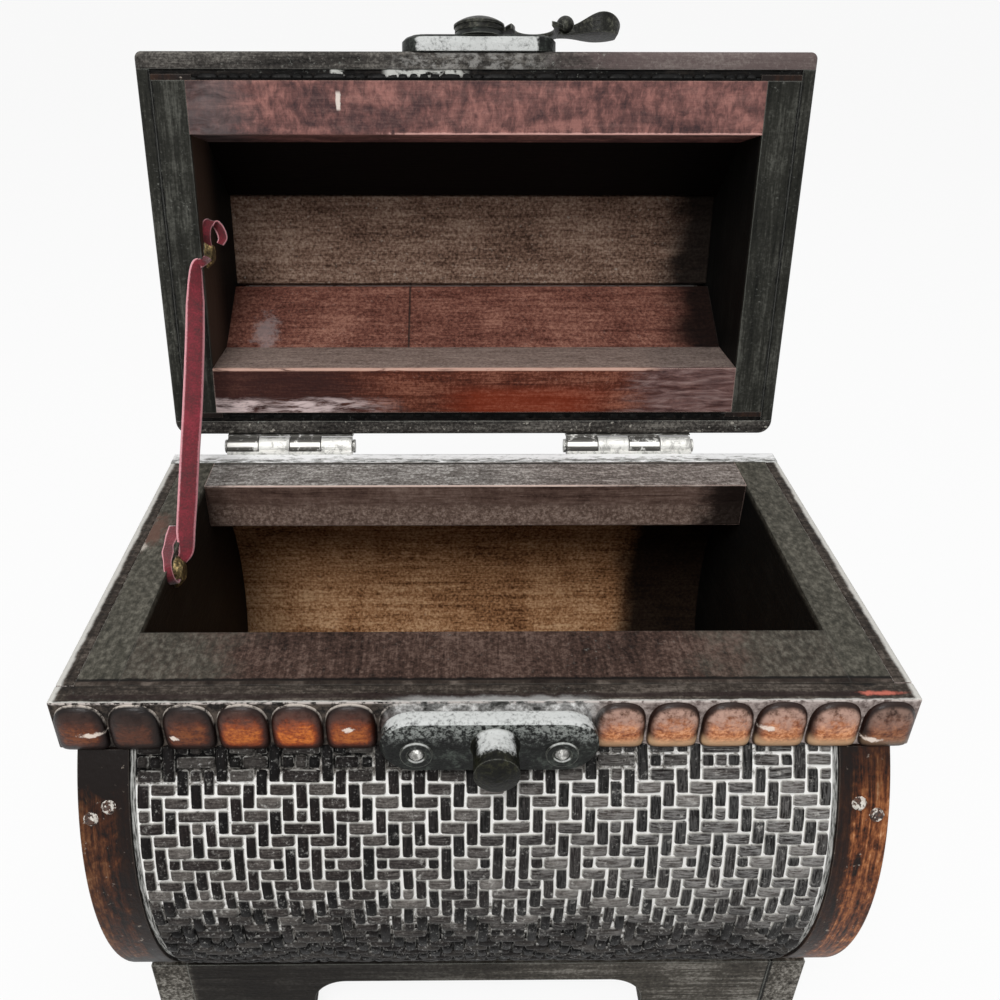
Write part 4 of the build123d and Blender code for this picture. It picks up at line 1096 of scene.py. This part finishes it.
def woven_mat(name, node, body, arc_length, surface, seed):
    """Mat of strips over a dusty ground. surface(x, v, rise) gives a point at a distance v along the arc."""
    chance = random.Random(seed)
    lines = int((arc_length - ROW_START) / ROW_PITCH) + 1
    verts, faces, weave, rise = [], [], [], []
    for level, strip, start, length in floats(COLUMNS, lines):
        run, girth = (COLUMN_PITCH, ROW_PITCH) if level else (ROW_PITCH, COLUMN_PITCH)
        half_run = (length * run - STRIP_GAP) / 2 * chance.uniform(0.97, 1.02)
        half_girth = girth * STRIP_SHARE / 2 * chance.uniform(0.9, 1.06)
        lift = chance.uniform(-0.08, 0.02)
        drift = chance.uniform(-0.06, 0.06)
        slant = chance.uniform(-0.07, 0.07)
        tint = chance.random() * 0.98 + (0 if level else 1)
        run_start, girth_start = (COLUMN_START, ROW_START) if level else (ROW_START, COLUMN_START)
        middle = (run_start + (start + length / 2) * run, girth_start + (strip + 0.5) * girth + drift)
        first = len(verts)
        shoulder = half_run - STRIP_SHOULDER
        ends = (-half_run, -shoulder, -half_run * 0.3, half_run * 0.3, shoulder, half_run)
        for end, height, width in zip(ends, STRIP_HEIGHTS, STRIP_WIDTHS):
            for side, crown in STRIP_SIDES:
                share = height * crown
                across = side * half_girth * width + slant * end / half_run
                place = (middle[0] + end, middle[1] + across)
                u, v = place if level else place[::-1]
                v = min(max(v, 0.02), arc_length - 0.02)
                verts.append(surface(u, v, STRIP_LOW + (STRIP_HIGH + lift - STRIP_LOW) * share))
                weave.append((u, v, tint))
                rise.append(share)
        count = len(STRIP_SIDES)
        for i in range(len(ends) - 1):
            for a in range(first + i * count, first + (i + 1) * count - 1):
                corners = (a, a + 1, a + count + 1, a + count)
                faces.append(corners[::-1] if level else corners)
    prefix = "lid_" if body == "lid" else ""
    mat = mesh_piece(name, verts, faces, f"{prefix}strips", {"rise": rise})
    layer = mat.data.attributes.new("weave", "FLOAT_VECTOR", "POINT")
    layer.data.foreach_set("vector", [part for point in weave for part in point])
    rings = []
    for i in range(GROUND_STEPS + 1):
        v = arc_length * i / GROUND_STEPS
        rings.append([surface(x * MAT_REACH, v, up) for x, up in GROUND_CORNERS])
    ground = four_sided_bar(f"{name}_ground", rings, f"{prefix}ground")
    for piece in (mat, ground):
        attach(piece, body)
        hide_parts(node)


def barrel_surface(side):
    """Points over the barrel's front (-1) or back (1), counted down from the rim, and the arc's length."""
    start = asin((MAT_TOP - BARREL_Z) / BARREL_RADIUS)
    end = asin((BASE_Z + 0.03 - BARREL_Z) / BARREL_RADIUS)

    def point(x, v, rise):
        angle = start - v / BARREL_RADIUS
        radius = BARREL_RADIUS + rise
        return row((-side * x, side * radius * cos(angle), BARREL_Z + radius * sin(angle)))

    return point, (start - end) * BARREL_RADIUS


def lid_surface():
    """Points over the lid's arch from its front rim over the top to its back rim, and the arc's length."""
    foot = LID_SPRING_Z - LID_RIM_Z
    total = 2 * foot + pi * LID_RADIUS

    def point(x, v, rise):
        radius = LID_RADIUS + rise
        if v < foot:
            place = (x, -radius, LID_RIM_Z + v)
        elif v > total - foot:
            place = (x, radius, LID_RIM_Z + total - v)
        else:
            angle = (v - foot) / LID_RADIUS
            place = (x, -radius * cos(angle), LID_SPRING_Z + radius * sin(angle))
        return row(opened(place))

    return point, total


front_surface, front_arc = barrel_surface(-1)
back_surface, back_arc = barrel_surface(1)
over_lid, lid_arc = lid_surface()
woven_mat("front_weave", "front_woven_mat", "box_body", front_arc, front_surface, 3)
woven_mat("back_weave", "back_woven_mat", "box_body", back_arc, back_surface, 5)
woven_mat("lid_weave", "lid_woven_mat", "lid", lid_arc, over_lid, 7)


# Ribbon stay

RIBBON_THICKNESS = 0.42
TAIL_THICKNESS = 0.32
RIBBON_CUPPING = 0.17
RIBBON_CELLS = 6
BODY_TACK = Vector((-END_INNER, 0.0, RIM_Z - 3.4))
LID_TACK = Vector(opened((-END_INNER, 0.0, LID_RIM_Z + 4.5)))


def between(values, share):
    """Value at a share of the way through a list."""
    place = share * (len(values) - 1)
    k = min(int(place), len(values) - 2)
    local = place - k
    return values[k] * (1 - local) + values[k + 1] * local


def ribbon_piece(name, points, widths, twists, thickness, flat=False):
    """Ribbon along points, as wide as its widths, its face turned by the twists from facing the front."""
    smooth = smooth_line(points, 8)
    last = len(smooth) - 1
    verts, across_values = [], []
    for i, centre in enumerate(smooth):
        width = between(widths, i / last)
        twist = between(twists, i / last)
        forward = (smooth[min(i + 1, last)] - smooth[max(i - 1, 0)]).normalized()
        across = Vector((1, 0.35, 0)) if flat else Vector((1, 0, 0))
        side = (across - forward * forward.dot(across)).normalized()
        turned = side * cos(twist) + forward.cross(side) * sin(twist)
        normal = forward.cross(turned)
        for layer in (-0.5, 0.5):
            for j in range(RIBBON_CELLS + 1):
                t = j / RIBBON_CELLS
                cupping = 0.0 if flat else RIBBON_CUPPING * (2 * t - 1) ** 2
                offset = turned * ((t - 0.5) * width) + normal * (layer * thickness + cupping)
                verts.append(row(centre + offset))
                across_values.append(t)
    side_step = RIBBON_CELLS + 1
    ring = 2 * side_step
    faces = []
    for i in range(last):
        for j in range(RIBBON_CELLS):
            low, high = i * ring + j, (i + 1) * ring + j
            faces.append((low, low + 1, high + 1, high))
            low, high = low + side_step, high + side_step
            faces.append((low + 1, low, high, high + 1))
        for j in (0, RIBBON_CELLS):
            a, b = i * ring + j, i * ring + j + side_step
            quad = (a, a + ring, b + ring, b)
            faces.append(quad if j == 0 else quad[::-1])
    for i in (0, last):
        for j in range(RIBBON_CELLS):
            a = i * ring + j
            quad = (a, a + side_step, a + side_step + 1, a + 1)
            faces.append(quad if i == 0 else quad[::-1])
    return mesh_piece(name, verts, faces, "velvet", {"across": across_values})


def smooth_line(points, steps):
    """Points of a smooth curve through the given ones."""
    points = [Vector(p) for p in points]
    padded = [2 * points[0] - points[1], *points, 2 * points[-1] - points[-2]]
    line = []
    for i in range(1, len(padded) - 2):
        a, b, c, d = padded[i - 1 : i + 3]
        for k in range(steps):
            t = k / steps
            square = 2 * a - 5 * b + 4 * c - d
            cube = 3 * b - a - 3 * c + d
            line.append(0.5 * (2 * b + (c - a) * t + square * t**2 + cube * t**3))
    line.append(points[-1])
    return line


def between_tacks(share, x):
    """A place along the straight line between the two tacks, moved sideways."""
    place = BODY_TACK + (LID_TACK - BODY_TACK) * share
    return (x, place.y, place.z)


def ribbon_stay():
    """Taut ribbon from the body's tack over the edge of the lid's board to the lid's tack."""
    taut = (
        (0.03, -50.75), (0.06, -50.2), (0.12, -50.6), (0.21, -50.8), (0.36, -51.2), (0.5, -51.5),
        (0.7, -52.2), (0.83, -52.8),
    )
    over_edge = ((-52.4, 1.9, 81.7), (-51.4, 1.0, 82.3), (-50.9, 0.6, 84.2), (-50.8, 0.2, 86.6))
    points = [between_tacks(*place) for place in taut] + [opened(place) for place in over_edge]
    widths = [1.6, 2.6, 3.3, 3.4, 3.5, 3.6, 3.6, 3.4, 2.2, 1.6, 1.5, 1.6]
    twists = [0.3, 0.15, 0.0, 0.08, -0.05, 0.06, 0.0, 0.1, 0.5, 0.9, 0.9, 0.9]
    stay = ribbon_piece("stay_ribbon", points, widths, twists, RIBBON_THICKNESS)
    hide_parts("ribbon_stay")
    row(between_tacks(0.09, -51))
    row(between_tacks(0.86, -51))
    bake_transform(stay)


def ribbon_tails():
    """Loose ends of the ribbon at its tacks."""
    low = (
        (-53.4, 8.6, 82.2), (-53.1, 5.6, 82.2), (-52.9, 2.6, 82.2), (-52.5, 0.4, 82.2), (-51.9, -2.2, 82.2),
        (-51.3, -4.3, 82.0), (-51.0, -4.9, 80.6), (-51.0, -3.9, 79.0), (-51.0, -2.2, 78.4),
    )
    low_widths = [1.9, 2.2, 1.6, 2.0, 1.3, 1.3, 1.5, 1.7, 1.5]
    tail = ribbon_piece("body_ribbon_tail", low, low_widths, [0.0] * len(low), TAIL_THICKNESS, flat=True)
    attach(tail, "box_body")
    high = (
        (-51.0, -0.6, 86.4), (-50.9, -3.6, 85.2), (-50.6, -5.6, 85.8), (-49.6, -6.0, 86.6),
        (-48.6, -4.8, 87.0), (-48.1, -3.0, 87.0), (-48.6, -1.8, 86.6),
    )
    high_widths = [1.6, 1.7, 1.9, 2.0, 2.0, 1.9, 1.4]
    points = [opened(place) for place in high]
    tail = ribbon_piece("lid_ribbon_tail", points, high_widths, [0.3] * len(high), TAIL_THICKNESS)
    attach(tail, "lid")


ribbon_stay()
ribbon_tails()


# Floor and light

FLOOR_REACH = 12.0
FLOOR_GREY = 0.86
SKY_STRENGTH = 0.42
LIT_PLACE = Vector((0, 0, 0.08))


def floor_material():
    paint = Paint("pale_floor")
    paint.shader.inputs["Base Color"].default_value = (FLOOR_GREY, FLOOR_GREY, FLOOR_GREY, 1)
    paint.shader.inputs["Roughness"].default_value = 0.9
    glow = paint.node("ShaderNodeEmission", {}, {"Color": WHITE, "Strength": 1.0})
    lit = Wire(paint, paint.shader.outputs[0])
    mixed = paint.node("ShaderNodeMixShader", {}, {0: paint.direct_rays() * 0.9, 1: lit, 2: glow})
    paint.join(paint.tree.nodes["Material Output"].inputs["Surface"], mixed)
    return paint.material


def build_stage():
    mesh = bpy.data.meshes.new("floor")
    corners = [(x * FLOOR_REACH, y * FLOOR_REACH, 0) for x, y in ((-1, -1), (1, -1), (1, 1), (-1, 1))]
    mesh.from_pydata(corners, [], [(0, 1, 2, 3)])
    mesh.materials.append(floor_material())
    link("floor", mesh)


def area_light(name, place, size, power):
    """Round soft lamp that looks at the box."""
    data = bpy.data.lights.new(name, "AREA")
    data.shape = "DISK"
    data.size = size
    data.energy = power
    lamp = link(name, data)
    lamp.location = place
    lamp.rotation_euler = (LIT_PLACE - Vector(place)).to_track_quat("-Z", "Y").to_euler()


def build_light():
    """Soft even light all round with a white background, and two lamps."""
    world = bpy.data.worlds.new("studio")
    bpy.context.scene.world = world
    world.use_nodes = True
    sky = Nodes(world.node_tree)
    soft = sky.tree.nodes["Background"]
    sky.join(soft.inputs["Color"], WHITE)
    sky.join(soft.inputs["Strength"], SKY_STRENGTH)
    lit = Wire(sky, soft.outputs[0])
    white = sky.node("ShaderNodeBackground", {}, {"Color": WHITE, "Strength": 1.0})
    mixed = sky.node("ShaderNodeMixShader", {}, {0: sky.direct_rays(), 1: lit, 2: white})
    sky.join(sky.tree.nodes["World Output"].inputs["Surface"], mixed)
    area_light("key_light", (-0.12, -0.42, 0.62), 0.3, 2.9)
    area_light("top_light", (0.1, 0.05, 0.75), 0.5, 1.0)


build_stage()
build_light()
scene = bpy.context.scene
scene.view_settings.view_transform = "Standard"
